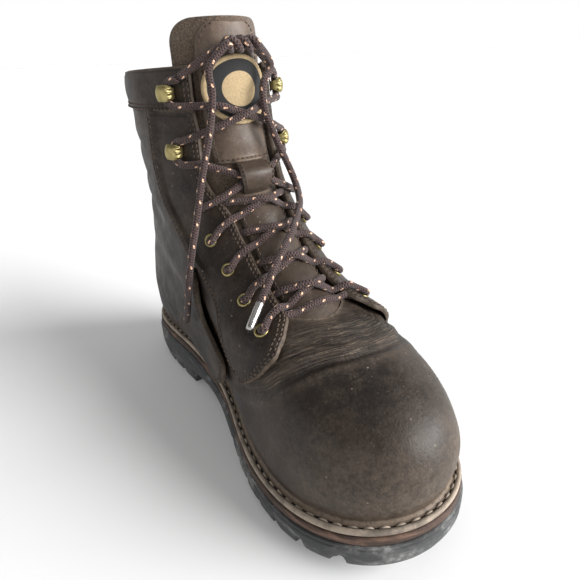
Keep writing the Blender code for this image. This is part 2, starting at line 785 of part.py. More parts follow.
def tube_rings(route, radius, sides):
    """Rings of points square to a route, turned as little as can be from one to the next."""
    run = np.gradient(route, axis=0)
    run /= np.linalg.norm(run, axis=1, keepdims=True)
    across = np.cross(run[0], (0.3, 0.5, 0.8))
    rings = []
    angles = np.linspace(0, 2 * math.pi, sides + 1)[:-1, None]
    for place, way in zip(route, run):
        across = across - way * (across @ way)
        across /= np.linalg.norm(across)
        rings.append(place + radius * (np.cos(angles) * across + np.sin(angles) * np.cross(way, across)))
    return rings


def cord(name, route, radius, material):
    """A lace piece as a round curve with closed ends."""
    shape = bpy.data.curves.new(name, "CURVE")
    shape.dimensions = "3D"
    shape.bevel_depth = radius * MM
    shape.bevel_resolution = 2
    shape.use_fill_caps = True
    line = shape.splines.new("POLY")
    line.points.add(len(route) - 1)
    places = (np.asarray(route) - (CENTRE[0], CENTRE[1], 0)) * MM
    for point, place in zip(line.points, places):
        point.co = (*place, 1.0)
    shape.materials.append(material)
    made = bpy.data.objects.new(name, shape)
    bpy.context.scene.collection.objects.link(made)
    return made


def end_route(side, table):
    """A free end: from the last hook on one side, through the half knot, and down the other side."""
    middle = raised(KNOT_LEVEL, 0.0, KNOT_LIFT)
    out = outward(KNOT_LEVEL, 0.0)
    up_axis = np.cross((1.0, 0, 0), out)
    hook = hook_stops(*HOOKS[-1])[-1] * (side, 1, 1)
    share = np.linspace(-1, 1, 13)[:, None]
    angle = math.pi * (KNOT_TURNS * side * share + (1 if side > 0 else 2))
    twist = middle - side * share * KNOT_HALF * np.array((1.0, 0, 0))
    twist = twist + KNOT_RADIUS * (np.sin(angle) * out + np.cos(angle) * up_axis)
    toward = np.array([[0.05], [0.5], [0.8]])
    lead = hook + (twist[0] - hook) * toward + out * np.array([[1.0], [1.5], [0.5]])
    rows = np.array(table)
    free = raised(rows[:, 0], rows[:, 1], rows[:, 2])
    return np.concatenate([lead, twist, smooth_route(free, END_STEP)])


def build_lace(materials):
    lace = materials["lace_cord"]
    tubes = []
    for side in (-1, 1):
        route = smooth_route(lace_route(side), CROSSING_STEP)
        tubes.append(ring_stack(f"lace_half_{side}", tube_rings(route, LACE_RADIUS, 6), lace, True))
    joined, other = tubes
    joined.name = "lace_crossings"
    other.hide_render = True
    other.display_type = "WIRE"
    change = joined.modifiers.new("join", "BOOLEAN")
    change.operation = "UNION"
    change.solver = "EXACT"
    change.object = other
    for name, side, table in (("medial", 1, MEDIAL_END), ("lateral", -1, LATERAL_END)):
        route = end_route(side, table)
        cord(f"lace_end_{name}", route, LACE_RADIUS, lace)
        way = route[-1] - route[-2]
        way /= np.linalg.norm(way)
        start = route[-1] + way * CLEAR
        if name == "lateral":
            cord("lace_tip", [start, start + way * TIP_LENGTH], TIP_RADIUS, materials["tip_metal"])


def main():
    clear_scene()
    materials = {
        "vamp_leather": make_material("vamp_leather", (0.030, 0.022, 0.017), 0.55),
        "eyestay_leather": make_material("eyestay_leather", (0.050, 0.036, 0.027), 0.6),
        "quarter_leather": make_material("quarter_leather", (0.024, 0.019, 0.016), 0.6),
        "cuff_leather": make_material("cuff_leather", (0.018, 0.015, 0.013), 0.65),
        "tongue_leather": make_material("tongue_leather", (0.055, 0.042, 0.033), 0.6),
        "tongue_cloth": make_material("tongue_cloth", (0.075, 0.045, 0.028), 0.9),
        "patch_cloth": make_material("patch_cloth", (0.02, 0.02, 0.02), 0.85),
        "welt_leather": make_material("welt_leather", (0.12, 0.085, 0.06), 0.75),
        "midsole_tan": make_material("midsole_tan", (0.22, 0.12, 0.07), 0.75),
        "outsole_rubber": make_material("outsole_rubber", (0.055, 0.055, 0.052), 0.8),
        "insole_cloth": make_material("insole_cloth", (0.06, 0.05, 0.045), 0.9),
        "antique_brass": make_material("antique_brass", (0.42, 0.33, 0.14), 0.35, 1.0),
        "lace_cord": make_material("lace_cord", (0.075, 0.04, 0.035), 0.8),
        "tip_metal": make_material("tip_metal", (0.6, 0.6, 0.6), 0.3, 1.0),
    }
    holes = build_hole_cutter()
    build_sole(materials)
    build_upper(materials, holes)
    build_panels(materials, holes)
    build_tongue(materials)
    build_holders(materials)
    build_lace(materials)


main()
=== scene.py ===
"""Looks of a worn left lace-up boot, laid out as an add-on and run as a script.

Tables are in millimetres and degrees, and MM turns them into metres. The toe points along -Y and +X is
the lateral side. A place on the boot is a level, which counts the rings of RINGS from the sole up, and a
turn, the angle round a ring from its front, lateral positive. A lift is a height over the upper's face.
"""

import math

import bpy
import numpy as np
from mathutils import Matrix


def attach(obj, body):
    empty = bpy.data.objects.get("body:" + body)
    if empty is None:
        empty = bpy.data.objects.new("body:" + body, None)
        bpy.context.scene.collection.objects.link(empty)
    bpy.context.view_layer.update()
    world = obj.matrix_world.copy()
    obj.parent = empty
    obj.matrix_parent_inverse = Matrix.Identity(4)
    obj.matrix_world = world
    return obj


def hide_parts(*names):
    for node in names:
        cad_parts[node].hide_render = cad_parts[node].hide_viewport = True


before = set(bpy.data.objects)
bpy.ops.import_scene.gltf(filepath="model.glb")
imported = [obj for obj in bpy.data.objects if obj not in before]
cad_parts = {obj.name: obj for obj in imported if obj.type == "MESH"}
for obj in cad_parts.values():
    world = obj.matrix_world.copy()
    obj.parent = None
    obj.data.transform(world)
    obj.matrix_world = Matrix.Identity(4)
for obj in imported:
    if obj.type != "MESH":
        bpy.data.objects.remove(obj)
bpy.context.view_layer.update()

bl_info = {
    "name": "Worn Lace-up Boot",
    "version": (1, 0, 0),
    "blender": (4, 5, 0),
    "location": "View3D > Sidebar > Boot",
    "description": "Builds the leather, stitches, sole, lace and studio of a worn left boot",
    "category": "Object",
}

MM = 0.001
SIDES = {"medial": -1, "lateral": 1}

# Rings of the upper's outer face, from the sole to the top of the tongue
RING_COLUMNS = ("front_y", "front_z", "back_y", "back_z", "follow", "toe", "ball", "waist", "heel")
RINGS = (
    (-149, 37, 149, 38, 1.0, 78, 54.5, 37, 78),  # feather line
    (-152, 49, 151, 52, 1.0, 82, 57.5, 42, 80),  # side wall
    (-151, 64, 152, 72, 0.8, 80, 57.0, 44, 78),  # toe front
    (-141, 80, 151, 92, 0.6, 68, 54.0, 44, 72),  # toe shoulder
    (-117, 92, 149, 108, 0.5, 46, 50.0, 44, 64),  # toe top
    (-84, 99, 146, 121, 0.4, 41, 46.0, 44, 58),  # vamp
    (-52, 110, 142, 134, 0.2, 40, 44.0, 42, 54),  # throat
    (-20, 133, 138, 152, 0.0, 38, 42.0, 41, 48),  # instep
    (8, 164, 135, 176, 0.0, 39, 41.0, 41, 43),  # ankle
    (20, 198, 135, 202, 0.0, 41, 42.0, 42, 42),  # cuff seam
    (24, 234, 138, 230, 0.0, 41, 41.5, 41.5, 41.5),  # collar
    (25, 262, 141, 258, 0.0, 41, 42.0, 42, 42),  # top of the tongue
)
WIDTH_AT = (0.0, 0.3, 0.6, 1.0)

# Sole line and the last's bend
TOE_Y = -149.0
BALL_Y = -55.0
BED_Z = 25.0
TOE_SPRING = 12.0
HEEL_LIFT = 13.0
LIFT_FROM_Y = -40.0
LIFT_TO_Y = 75.0
TOE_SWING = 4.0
WAIST_TUCK = 0.14
WAIST_AT = 0.53
WAIST_REACH = 0.16

# Walls and layers
WALL = 2.2
CLEAR = 0.3
LAYER_TOP = 2.35
TONGUE_DEPTH = 3.2
TONGUE_PUFF = 2.2
TONGUE_LAYER = 2.4
CLOTH_SEAT = 0.15
PAD_LAYER = 1.7
PAD_PUFF = 2.2
THROAT_LEVEL = 5.6
# Insets of the two rows of stitches along a panel's edge
ROWS = (2.2, 4.8)

# Sole layers
WELT_INSET = 9.0
WELT_LAYER = 3.6
MIDSOLE_GROW = 6.6
MIDSOLE_LAYER = 5.4
OUTSOLE_GROW = 7.2
RIB_GROW = 0.8
TREAD_INSET = 2.0
INSOLE_INSET = 3.4
INSOLE_LAYER = 4.0
ARCH_FRONT_Y = -8.0
ARCH_TOP_Y = 26.0
HEEL_BREAST_Y = 62.0
ARCH_RISE = 10.5
HEEL_SLANT = 5.0
LUG_DEPTH = 5.5
LUG_GAP = 5.0
LUG_TURN = 14.0
LUG_MIDDLE = 38.0
SPINE_HALF = 13.0
FOREFOOT_LUGS = (-132.0, -114.0, -96.0, -78.0, -60.0, -42.0, -24.0)
HEEL_LUGS = (82.0, 100.0, 118.0, 136.0)

# Facing: level, turn of its front edge, turn of its rear edge
FACING = (
    (2.78, 66.0, 75.0),
    (3.3, 60.0, 77.0),
    (4.0, 50.0, 75.0),
    (4.8, 39.0, 71.0),
    (5.6, 28.0, 70.0),
    (6.2, 27.5, 72.0),
    (7.0, 28.5, 77.0),
    (7.7, 31.5, 83.0),
    (8.0, 37.5, 82.0),
    (8.25, 39.5, 81.0),
    (8.5, 37.0, 79.5),
    (9.3, 35.0, 74.0),
    (9.97, 34.5, 71.0),
)
# Rear quarter panel: level, turn of its front edge
QUARTER = (
    (0.22, 97.0),
    (1.0, 90.0),
    (2.0, 81.0),
    (2.6, 80.0),
    (3.1, 88.0),
    (3.9, 87.0),
    (4.7, 82.5),
    (5.4, 79.0),
    (6.1, 78.5),
    (7.0, 81.0),
    (7.8, 87.0),
    (8.6, 83.0),
    (9.25, 78.0),
)
# Tongue and what is sewn to it: level, turn of each edge
TONGUE = ((5.05, 46.0), (5.6, 50.0), (7.0, 52.0), (8.6, 54.0), (9.9, 52.0), (10.85, 51.0))
TONGUE_PAD = ((8.45, 29.0), (9.1, 30.5), (9.6, 30.5), (10.1, 30.5), (10.72, 30.0))
TONGUE_STRIP = ((5.4, 24.0), (5.85, 24.0), (6.6, 24.5), (7.1, 24.5), (7.76, 24.0))
FACING_TOP = 9.38
QUARTER_TOP = 9.37
CUFF_FROM = 9.3
CUFF_TO = 10.03
CUFF_LAP = 0.15
CUFF_PUFF = 2.0
KEEPER_FROM = 7.93
KEEPER_TO = 8.46
KEEPER_HALF = 12.5
# Lace through the keeper: level, turn, lift of the upper strand, lift of the lower strand
KEEPER_PASS = (
    (7.79, 33.0, 5.2, 5.2),
    (7.97, 20.0, 4.2, 4.2),
    (8.1, 10.0, 5.2, 2.4),
    (8.15, 0.0, 4.4, 1.3),
    (8.2, -10.0, 5.2, 2.4),
    (8.3, -20.0, 4.8, 4.8),
    (8.42, -36.0, 6.2, 6.2),
)
KEEPER_RISE = 10.2
PATCH_LEVEL = 9.62
PATCH_RADIUS = 19.5

# Lace holders: level, turn
EYELETS = ((4.78, 48.5), (5.72, 47.0), (6.43, 47.5), (6.99, 51.0))
ANKLE_HOLE = ((7.6, 50.0),)
HOOKS = ((8.64, 53.0), (9.6, 51.0))
HOOK_WIDTH = 4.6
HOOK_REACH = 4.6
HOOK_RISE = 8.6
HOOK_SEAT = 3.9

# Half knot and free ends of the lace: level, turn, lift
KNOT_LEVEL = 10.3
KNOT_LIFT = 10.0
KNOT_RADIUS = 2.6
KNOT_HALF = 9.5
KNOT_TURNS = 1.5
MEDIAL_END = (
    (9.95, -20.0, 13.0),
    (9.5, -20.5, 12.6),
    (8.9, -26.0, 12.4),
    (8.2, -36.0, 11.8),
    (7.4, -48.5, 12.2),
    (6.6, -61.5, 10.5),
    (5.6, -74.0, 9.0),
    (4.6, -83.5, 9.0),
    (3.5, -93.5, 10.0),
    (2.6, -99.5, 11.0),
)
LATERAL_END = (
    (9.95, 20.0, 13.0),
    (9.5, 10.0, 12.8),
    (8.9, 15.0, 12.8),
    (8.4, 23.0, 12.4),
    (8.0, 29.5, 12.2),
    (7.64, 29.0, 12.2),
    (7.43, 23.0, 12.2),
    (7.1, 5.0, 12.4),
    (6.63, -15.0, 12.4),
    (6.34, -23.0, 12.2),
    (5.97, -32.0, 12.0),
    (5.5, -40.0, 12.0),
)
TIP_LENGTH = 17.0
TIP_RADIUS = 2.5

# Creases of the leather: depth, width, ridge height, route of level and turn
FLEX_LINE = (
    (1.8, -87),
    (2.45, -71),
    (3.04, -58),
    (3.56, -50),
    (4.05, -40),
    (4.38, -30),
    (4.6, -17),
    (4.66, 2),
    (4.45, 19),
    (4.12, 32),
    (3.62, 46),
    (3.3, 60),
)
CREASES = (
    (1.6, 3.0, 0.9, FLEX_LINE),
    (0.8, 1.5, 0.5, ((4.1, -50), (4.62, -41), (4.92, -27), (4.96, -14), (4.86, 0), (4.7, 12))),
    (0.5, 1.0, 0.3, ((3.6, -54), (4.12, -44), (4.5, -32), (4.72, -18), (4.78, -4))),
    (0.5, 1.0, 0.25, ((4.75, -36), (5.08, -20), (5.14, -4), (5.0, 12), (4.75, 24))),
    (0.45, 1.0, 0.2, ((4.95, -30), (5.25, -16), (5.3, 0), (5.15, 16), (4.9, 27))),
    (0.5, 1.0, 0.2, ((2.6, -75), (3.2, -60), (3.75, -50), (4.2, -40))),
    (0.4, 1.2, 0.15, ((2.6, -52), (3.1, -46), (3.5, -38))),
    (0.5, 0.8, 0.35, ((2.64, -41), (2.72, -40), (2.86, -38))),
    (0.8, 2.6, 0.3, ((3.2, 62), (3.9, 50), (4.3, 40))),
    (1.6, 6.0, 0.9, ((6.7, 98), (6.9, 118), (7.3, 140), (7.5, 156))),
    (1.3, 5.0, 0.7, ((7.5, 104), (7.75, 122), (8.0, 142))),
    (1.6, 6.0, 0.9, ((6.7, -98), (6.9, -118), (7.3, -140), (7.5, -156))),
    (1.3, 5.0, 0.7, ((7.5, -104), (7.75, -122), (8.0, -142))),
    (0.9, 4.0, 0.5, ((8.4, -96), (8.6, -116), (8.7, -136))),
)


def ease(share):
    share = np.clip(share, 0, 1)
    return share * share * (3 - 2 * share)


def sole_line(y):
    """Height of the sole's top edge, where the upper meets it."""
    toe = np.clip((BALL_Y - y) / (BALL_Y - TOE_Y), 0, None)
    return BED_Z + TOE_SPRING * toe**2 + HEEL_LIFT * ease((y - LIFT_FROM_Y) / (LIFT_TO_Y - LIFT_FROM_Y))


def spline(rows, at):
    """Rows read at fractional indices along a smooth curve through them."""
    rows = np.asarray(rows, float)
    at = np.asarray(at, float)
    i = np.clip(np.floor(at).astype(int), 0, len(rows) - 2)
    t = (at - i)[..., None]
    a, b, c, d = (rows[np.clip(i + k, 0, len(rows) - 1)] for k in (-1, 0, 1, 2))
    return 0.5 * (2 * b + (c - a) * t + (2 * a - 5 * b + 4 * c - d) * t**2 + (3 * b - a - 3 * c + d) * t**3)


def ring(level):
    return dict(zip(RING_COLUMNS, np.moveaxis(spline(RINGS, level), -1, 0)))


def surface(level, turn):
    """Points of the upper's smooth outer face, turn in radians."""
    level, turn = np.broadcast_arrays(np.asarray(level, float), np.asarray(turn, float))
    row = ring(level)
    share = (1 - np.cos(turn)) / 2
    width = 0
    for i, name in enumerate(("toe", "ball", "waist", "heel")):
        weight = 1.0
        for k in range(4):
            if k != i:
                weight = weight * (share - WIDTH_AT[k]) / (WIDTH_AT[i] - WIDTH_AT[k])
        width = width + row[name] * weight
    y = row["front_y"] + (row["back_y"] - row["front_y"]) * share
    tuck = WAIST_TUCK * row["follow"] * np.exp(-(((share - WAIST_AT) / WAIST_REACH) ** 2))
    toe = np.clip((BALL_Y - y) / (BALL_Y - TOE_Y), 0, None)
    x = np.sin(turn) * width * np.where(turn < 0, 1 - tuck, 1) - TOE_SWING * toe**2
    straight = row["front_z"] + (row["back_z"] - row["front_z"]) * share
    front_line = sole_line(row["front_y"])
    chord = front_line + (sole_line(row["back_y"]) - front_line) * share
    return np.stack([x, y, straight + row["follow"] * (sole_line(y) - chord)], -1)


def outward(level, turn):
    step = 0.001
    along = surface(level + step, turn) - surface(level - step, turn)
    across = surface(level, turn + step) - surface(level, turn - step)
    normal = np.cross(across, along)
    return normal / np.linalg.norm(normal, axis=-1, keepdims=True)


def relief(points):
    """Height that the creases add to places on the upper, and how pale their crests are: leather worn pale,
    with a painted highlight on top.
    """
    flat = points.reshape(-1, 3)
    height = 0.25 * np.sin(flat[:, 0] / 7 + flat[:, 2] / 11) * np.sin(flat[:, 1] / 13 - flat[:, 2] / 9)
    ridge_rub_and_highlight = np.zeros(len(flat))
    for depth, width, ridge, route in CREASES:
        line = np.asarray(route, float)
        line = spline(line, np.linspace(0, len(line) - 1, 60))
        line = surface(line[:, 0], np.radians(line[:, 1]))
        near = ((flat > line.min(0) - 4 * width) & (flat < line.max(0) + 4 * width)).all(1)
        if not near.any():
            continue
        gap = np.linalg.norm(flat[near, None] - line[None], axis=2)
        nearest = gap.argmin(1)
        gap = gap[np.arange(len(gap)), nearest]
        fade = np.sqrt(np.sin(math.pi * (nearest + 0.5) / len(line)))
        crest = np.exp(-(((gap - 2.0 * width) / width) ** 2))
        height[near] += fade * (ridge * crest - depth * np.exp(-((gap / width) ** 2)))
        # Pale crests: leather worn on the ridges, partly a painted highlight where they catch the light.
        rub = fade * crest**2 * (0.7 * min(1.0, ridge) if width < 4 else 0.15)
        ridge_rub_and_highlight[near] = np.maximum(ridge_rub_and_highlight[near], rub)
    return height.reshape(points.shape[:-1]), ridge_rub_and_highlight.reshape(points.shape[:-1])


def flex_place(points, levels):
    """Distance along the flex crease, and distance from it toward the throat, of places on the upper."""
    line = np.asarray(FLEX_LINE, float)
    line = spline(line, np.linspace(0, len(line) - 1, 160))
    place = surface(line[:, 0], np.radians(line[:, 1]))
    run = np.concatenate([[0], np.cumsum(np.linalg.norm(np.diff(place, axis=0), axis=1))])
    flat = points.reshape(-1, 3)
    along, away = np.zeros(len(flat)), np.full(len(flat), -60.0)
    near = np.flatnonzero(((flat > place.min(0) - 45) & (flat < place.max(0) + 45)).all(1))
    gap = np.linalg.norm(flat[near, None] - place[None], axis=2)
    nearest = gap.argmin(1)
    sign = np.where(levels.ravel()[near] > line[nearest, 0], 1, -1)
    tangent = np.gradient(place, axis=0)
    tangent /= np.linalg.norm(tangent, axis=1, keepdims=True)
    past = ((flat[near] - place[nearest]) * tangent[nearest]).sum(1)
    along[near] = run[nearest] + past
    away[near] = np.sqrt(np.maximum(gap[np.arange(len(near)), nearest] ** 2 - past**2, 0)) * sign
    return along, away


def raised(level, turn, lift):
    """Points at a lift outside the upper's creased face, turn in degrees."""
    level, turn, lift = np.broadcast_arrays(*(np.asarray(v, float) for v in (level, turn, lift)))
    turn = np.radians(turn)
    base = surface(level, turn)
    return base + outward(level, turn) * (lift + relief(base)[0])[..., None]


def level_turn_lift(level, turn, lift):
    """Points at a lift outside the upper's smooth face, as the lace keeps them."""
    level, turn, lift = np.broadcast_arrays(*(np.asarray(v, float) for v in (level, turn, lift)))
    turn = np.radians(turn)
    return surface(level, turn) + outward(level, turn) * lift[..., None]


def table_at(table, level):
    """The columns of a table after its first, read along smooth curves at levels."""
    table = np.array(table)
    at = table[:, 0]
    level = np.clip(level, at[0], at[-1])
    i = np.clip(np.searchsorted(at, level, side="right") - 1, 0, len(at) - 2)
    step = at[i + 1] - at[i]
    t = (level - at[i]) / step
    found = []
    for column in table.T[1:]:
        slope = np.gradient(column, at)
        a, b = column[i], column[i + 1]
        low, high = slope[i] * step, slope[i + 1] * step
        found.append(
            a * (1 + 2 * t) * (1 - t) ** 2 + b * t**2 * (3 - 2 * t) + t * (1 - t) * (low * (1 - t) - high * t)
        )
    return found


def throat(level):
    return table_at(FACING, np.clip(level, THROAT_LEVEL, 10))[0]


def facing_lift(level, turn):
    """Lift of a facing's under face, which stands off the vamp in front and steps over the quarter."""
    level, turn = np.broadcast_arrays(np.asarray(level, float), np.asarray(turn, float))
    front, rear = table_at(FACING, level)
    near = ease(1 - (np.abs(turn) - front) / 16)
    span = ease((level - 3.5) / 1.0) * ease((6.4 - level) / 1.2)
    over = ease((np.abs(turn) - rear + 9) / 4) * ease((level - 5.9) / 0.4)
    step = 2.1 + 0.7 * ease((level - 9.1) / 0.2)
    return 0.1 + np.where(turn > 0, 3.6, 2.6) * near * span + step * over


def tongue_lift(level, turn):
    """Lift of the tongue's outer face, which swells in the middle of the throat."""
    inside = np.clip(1 - (turn / (throat(level) - 3)) ** 2, 0, 1)
    return -TONGUE_DEPTH + TONGUE_PUFF * inside * ease((level - 5.62) / 0.4)


def sole_outline(grow, turns):
    """The feather line seen from above, grown outward."""
    points = surface(0.0, turns)
    step = 0.001
    along = (surface(0.0, turns + step) - surface(0.0, turns - step))[:, :2]
    along /= np.linalg.norm(along, axis=1, keepdims=True)
    points[:, :2] += np.stack([along[:, 1], -along[:, 0]], 1) * grow
    return points


SOLE_EDGE = sole_outline(OUTSOLE_GROW + RIB_GROW, np.linspace(-math.pi, math.pi, 49)[:-1])
CENTRE = np.append(((SOLE_EDGE.min(0) + SOLE_EDGE.max(0)) / 2)[:2], 0.0)


class BootSizes(bpy.types.PropertyGroup):
    """Sizes of the boot's finer pieces."""

    lace_diameter: bpy.props.FloatProperty(
        name="Lace diameter", description="Thickness of the round lace", default=0.0044, unit="LENGTH"
    )
    stitch_pitch: bpy.props.FloatProperty(
        name="Stitch pitch", description="Step from stitch to stitch on the panels",
        default=0.0031, unit="LENGTH",
    )
    stitch_radius: bpy.props.FloatProperty(
        name="Stitch radius", description="Half thickness of the panels' thread",
        default=0.00052, unit="LENGTH",
    )
    welt_pitch: bpy.props.FloatProperty(
        name="Welt pitch", description="Step from stitch to stitch on the welt", default=0.0078, unit="LENGTH"
    )
    edge_round: bpy.props.FloatProperty(
        name="Edge round", description="Radius of the panels' edges", default=0.0013, unit="LENGTH"
    )
    camera_angle: bpy.props.FloatProperty(
        name="Camera angle", description="Field of view of the camera",
        default=math.radians(62.5), subtype="ANGLE",
    )


def colour(name, words, value):
    return bpy.props.FloatVectorProperty(
        name=name, description=words, default=value, size=3, min=0.0, max=1.0, subtype="COLOR"
    )


class BootColours(bpy.types.PropertyGroup):
    """Colours of the boot's materials."""

    leather_dark: colour("Dark leather", "Oiled leather where it is dark", (0.0085, 0.0058, 0.0043))
    leather_mid: colour("Brown leather", "Oiled leather where it is pulled up", (0.036, 0.0250, 0.0180))
    # Pale tone of worn edges and ridges, also the colour of the painted highlight on the crease ridges.
    leather_dust_and_highlight: colour("Rubbed leather", "Leather on ridges and edges", (0.185, 0.140, 0.103))
    tongue_dust: colour("Tongue leather", "Dry leather of the tongue", (0.165, 0.134, 0.108))
    thread: colour("Thread", "Sewing thread of the panels", (0.105, 0.070, 0.048))
    welt_pale: colour("Welt", "Worn top of the welt", (0.35, 0.287, 0.225))
    midsole_tan: colour("Midsole", "Side of the midsole", (0.175, 0.1, 0.068))
    rubber_grey: colour("Rubber", "Side of the outsole", (0.048, 0.049, 0.050))
    rubber_worn: colour("Worn rubber", "Scuffed side of the outsole", (0.24, 0.24, 0.232))
    cloth_brown: colour("Tongue cloth", "Woven base of the tongue", (0.11, 0.073, 0.047))
    lining: colour("Lining", "Cloth inside the boot", (0.040, 0.032, 0.027))
    brass: colour("Brass", "Antique brass of eyelets and hooks", (0.40, 0.335, 0.15))
    lace_ground: colour("Lace", "Ground of the braided lace", (0.062, 0.031, 0.027))
    lace_fleck: colour("Lace fleck", "Flecks of the braided lace", (0.82, 0.50, 0.33))
    disc_pale: colour("Disc border", "Pale thread of the tongue's disc", (0.60, 0.44, 0.24))
    disc_dark: colour("Disc", "Dark thread of the tongue's disc", (0.012, 0.012, 0.013))
    steel: colour("Lace tip", "Metal of the lace's tip", (0.46, 0.45, 0.43))
    floor: colour("Floor", "Studio floor", (0.80, 0.80, 0.80))


def sizes():
    return bpy.context.scene.boot_sizes


def colours():
    return bpy.context.scene.boot_colours


def make_piece(name, points, faces, material, replaces=(), fields=None, sharp=None):
    """A mesh piece from points in millimetres, riding on the boot."""
    mesh = bpy.data.meshes.new(name)
    places = (np.asarray(points, float) - CENTRE) * MM
    mesh.from_pydata(places.tolist(), [], [tuple(map(int, face)) for face in faces])
    mesh.validate()
    mesh.shade_smooth()
    if sharp is not None:
        mesh.set_sharp_from_angle(angle=math.radians(sharp))
    for key, values in (fields or {}).items():
        layer = mesh.attributes.new(key, "FLOAT", "POINT")
        layer.data.foreach_set("value", np.asarray(values, np.float32).ravel())
    mesh.materials.append(material)
    piece = bpy.data.objects.new(name, mesh)
    bpy.context.scene.collection.objects.link(piece)
    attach(piece, "root")
    if replaces:
        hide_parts(*replaces)
    return piece


def grid_faces(rows, columns, wrap=False):
    index = np.arange(rows * columns).reshape(rows, columns)
    if wrap:
        index = np.hstack([index, index[:, :1]])
    return np.stack([index[:-1, :-1], index[:-1, 1:], index[1:, 1:], index[1:, :-1]], -1)


def closed_sheet(quads, count):
    """Faces of a solid between an outer sheet's quads and the same sheet count points further on."""
    quads = quads.reshape(-1, 4)
    start = quads.ravel()
    end = np.roll(quads, -1, axis=1).ravel()
    size = int(quads.max()) + 1
    open_edge = ~np.isin(end * size + start, start * size + end)
    p, q = start[open_edge], end[open_edge]
    rim = np.stack([q, p, p + count, q + count], -1)
    return np.concatenate([quads, quads[:, ::-1] + count, rim])


def run_lengths(points):
    """Distances along each row of a grid of points."""
    step = np.linalg.norm(np.diff(points, axis=1), axis=2)
    return np.hstack([np.zeros((len(points), 1)), np.cumsum(step, axis=1)])


def inset_distance(points):
    """Distance of each grid point from the nearest edge of its sheet."""
    along = run_lengths(points)
    down = run_lengths(points.transpose(1, 0, 2)).T
    edges = (along, along[:, -1:] - along, down, down[-1:] - down)
    return np.minimum.reduce(edges)


def panel(name, levels, front, rear, columns, base, layer, material, replaces, puff=0.0, round_mm=None,
          grooves=()):
    """A leather layer over the upper between two edges, with rounded edges and an optional puff."""
    share = (1 - np.cos(np.linspace(0, math.pi, columns))) / 2
    turns = front[:, None] + (rear - front)[:, None] * share
    grid = np.broadcast_to(levels[:, None], turns.shape)
    floor = base(grid, turns) if callable(base) else np.full(turns.shape, float(base))
    ground = raised(grid, turns, floor)
    inside = inset_distance(ground)
    radius = round_mm or sizes().edge_round / MM
    shape = np.sqrt(1 - (1 - np.clip(inside / radius, 0, 1)) ** 2)
    swell = puff * ease(inside / 14.0)
    # Stitch grooves: sunk into the face here, and darkened in the material as painted shade.
    seam = np.zeros(turns.shape)
    for inset in grooves:
        seam += np.exp(-(((inside - inset) / 0.55) ** 2))
    outer = raised(grid, turns, floor + layer * shape + swell - 0.35 * seam)
    inner = raised(grid, turns, floor - 0.4)
    _, ridge_rub_and_highlight = relief(surface(grid, np.radians(turns)))
    # Pale edges, dust low down and the crease ridges, the ridges partly a painted highlight.
    wear_and_painted_light = np.clip(0.75 * np.exp(-inside / 1.6) + ridge_rub_and_highlight + 0.9 * ease((0.65 - grid) / 0.5), 0, 1)
    fields = {"wear_and_painted_light": np.tile(wear_and_painted_light.ravel(), 2), "seam": np.tile(seam.ravel(), 2)}
    faces = closed_sheet(grid_faces(*turns.shape), turns.size)
    points = np.concatenate([outer.reshape(-1, 3), inner.reshape(-1, 3)])
    piece = make_piece(name, points, faces, material, replaces, fields)
    return piece, {"grid": grid, "turns": turns, "ground": ground, "top": floor + layer}


def seam_line(sheet, side, inset, skip=(0.0, 0.0)):
    """Level, turn and lift along a line inside a panel's front, rear, low or high edge."""
    grid, turns, top = sheet["grid"], sheet["turns"], sheet["top"]
    ground = sheet["ground"]
    if side in ("low", "high"):
        grid, turns, top, ground = grid.T, turns.T, top.T, ground.transpose(1, 0, 2)
    along = run_lengths(ground)
    at = inset if side in ("front", "low") else along[:, -1] - inset
    at = np.broadcast_to(at, len(along))
    rows = [
        [np.interp(at[i], along[i], column[i]) for column in (grid, turns, top)]
        for i in range(len(along))
        if along[i, -1] > 2 * inset
    ]
    rows = np.array(rows)
    run = np.concatenate([[0], np.cumsum(np.linalg.norm(np.diff(raised(*rows.T), axis=0), axis=1))])
    keep = (run >= skip[0]) & (run <= run[-1] - skip[1])
    return rows[keep]


CAPSULE = [(-1.0, 0.0), (-0.82, 0.75), (-0.3, 1.0), (0.3, 1.0), (0.82, 0.75), (1.0, 0.0)]


def stitches(name, lines, pitch, length, radius, material, lift=0.1, slant=0.0):
    """One joined mesh of thread stitches along lines of level, turn and lift."""
    points, faces = [], []
    sides = 6
    angle = np.linspace(0, 2 * math.pi, sides + 1)[:-1]
    for line in lines:
        path = raised(*line.T)
        up = outward(line[:, 0], np.radians(line[:, 1]))
        run = np.concatenate([[0], np.cumsum(np.linalg.norm(np.diff(path, axis=0), axis=1))])
        at = np.arange(pitch / 2, run[-1] - pitch / 2, pitch)
        middle = np.column_stack([np.interp(at, run, column) for column in path.T])
        ahead = np.column_stack([np.interp(at + 0.4, run, column) for column in path.T])
        normal = np.column_stack([np.interp(at, run, column) for column in up.T])
        for place, way, out in zip(middle, ahead - middle, normal):
            way = way / np.linalg.norm(way)
            across = np.cross(way, out)
            way = way + across * slant
            way = way / np.linalg.norm(way)
            across = np.cross(way, out)
            start = len(points) * len(CAPSULE) * sides
            body = [
                place
                + way * (length / 2 * s)
                + np.outer(np.cos(angle) * radius * r, across)
                + np.outer(np.sin(angle) * radius * r, out)
                + out * (lift - 0.35 * radius * s * s)
                for s, r in CAPSULE
            ]
            points.append(np.concatenate(body))
            faces.append(grid_faces(len(CAPSULE), sides, True).reshape(-1, 4) + start)
    return make_piece(name, np.concatenate(points), np.concatenate(faces), material)


def smooth_route(points, spacing):
    points = np.asarray(points, float)
    fine = spline(points, np.linspace(0, len(points) - 1, 60 * len(points)))
    along = np.concatenate([[0], np.cumsum(np.linalg.norm(np.diff(fine, axis=0), axis=1))])
    at = np.linspace(0, along[-1], max(2, round(along[-1] / spacing) + 1))
    return np.column_stack([np.interp(at, along, column) for column in fine.T])


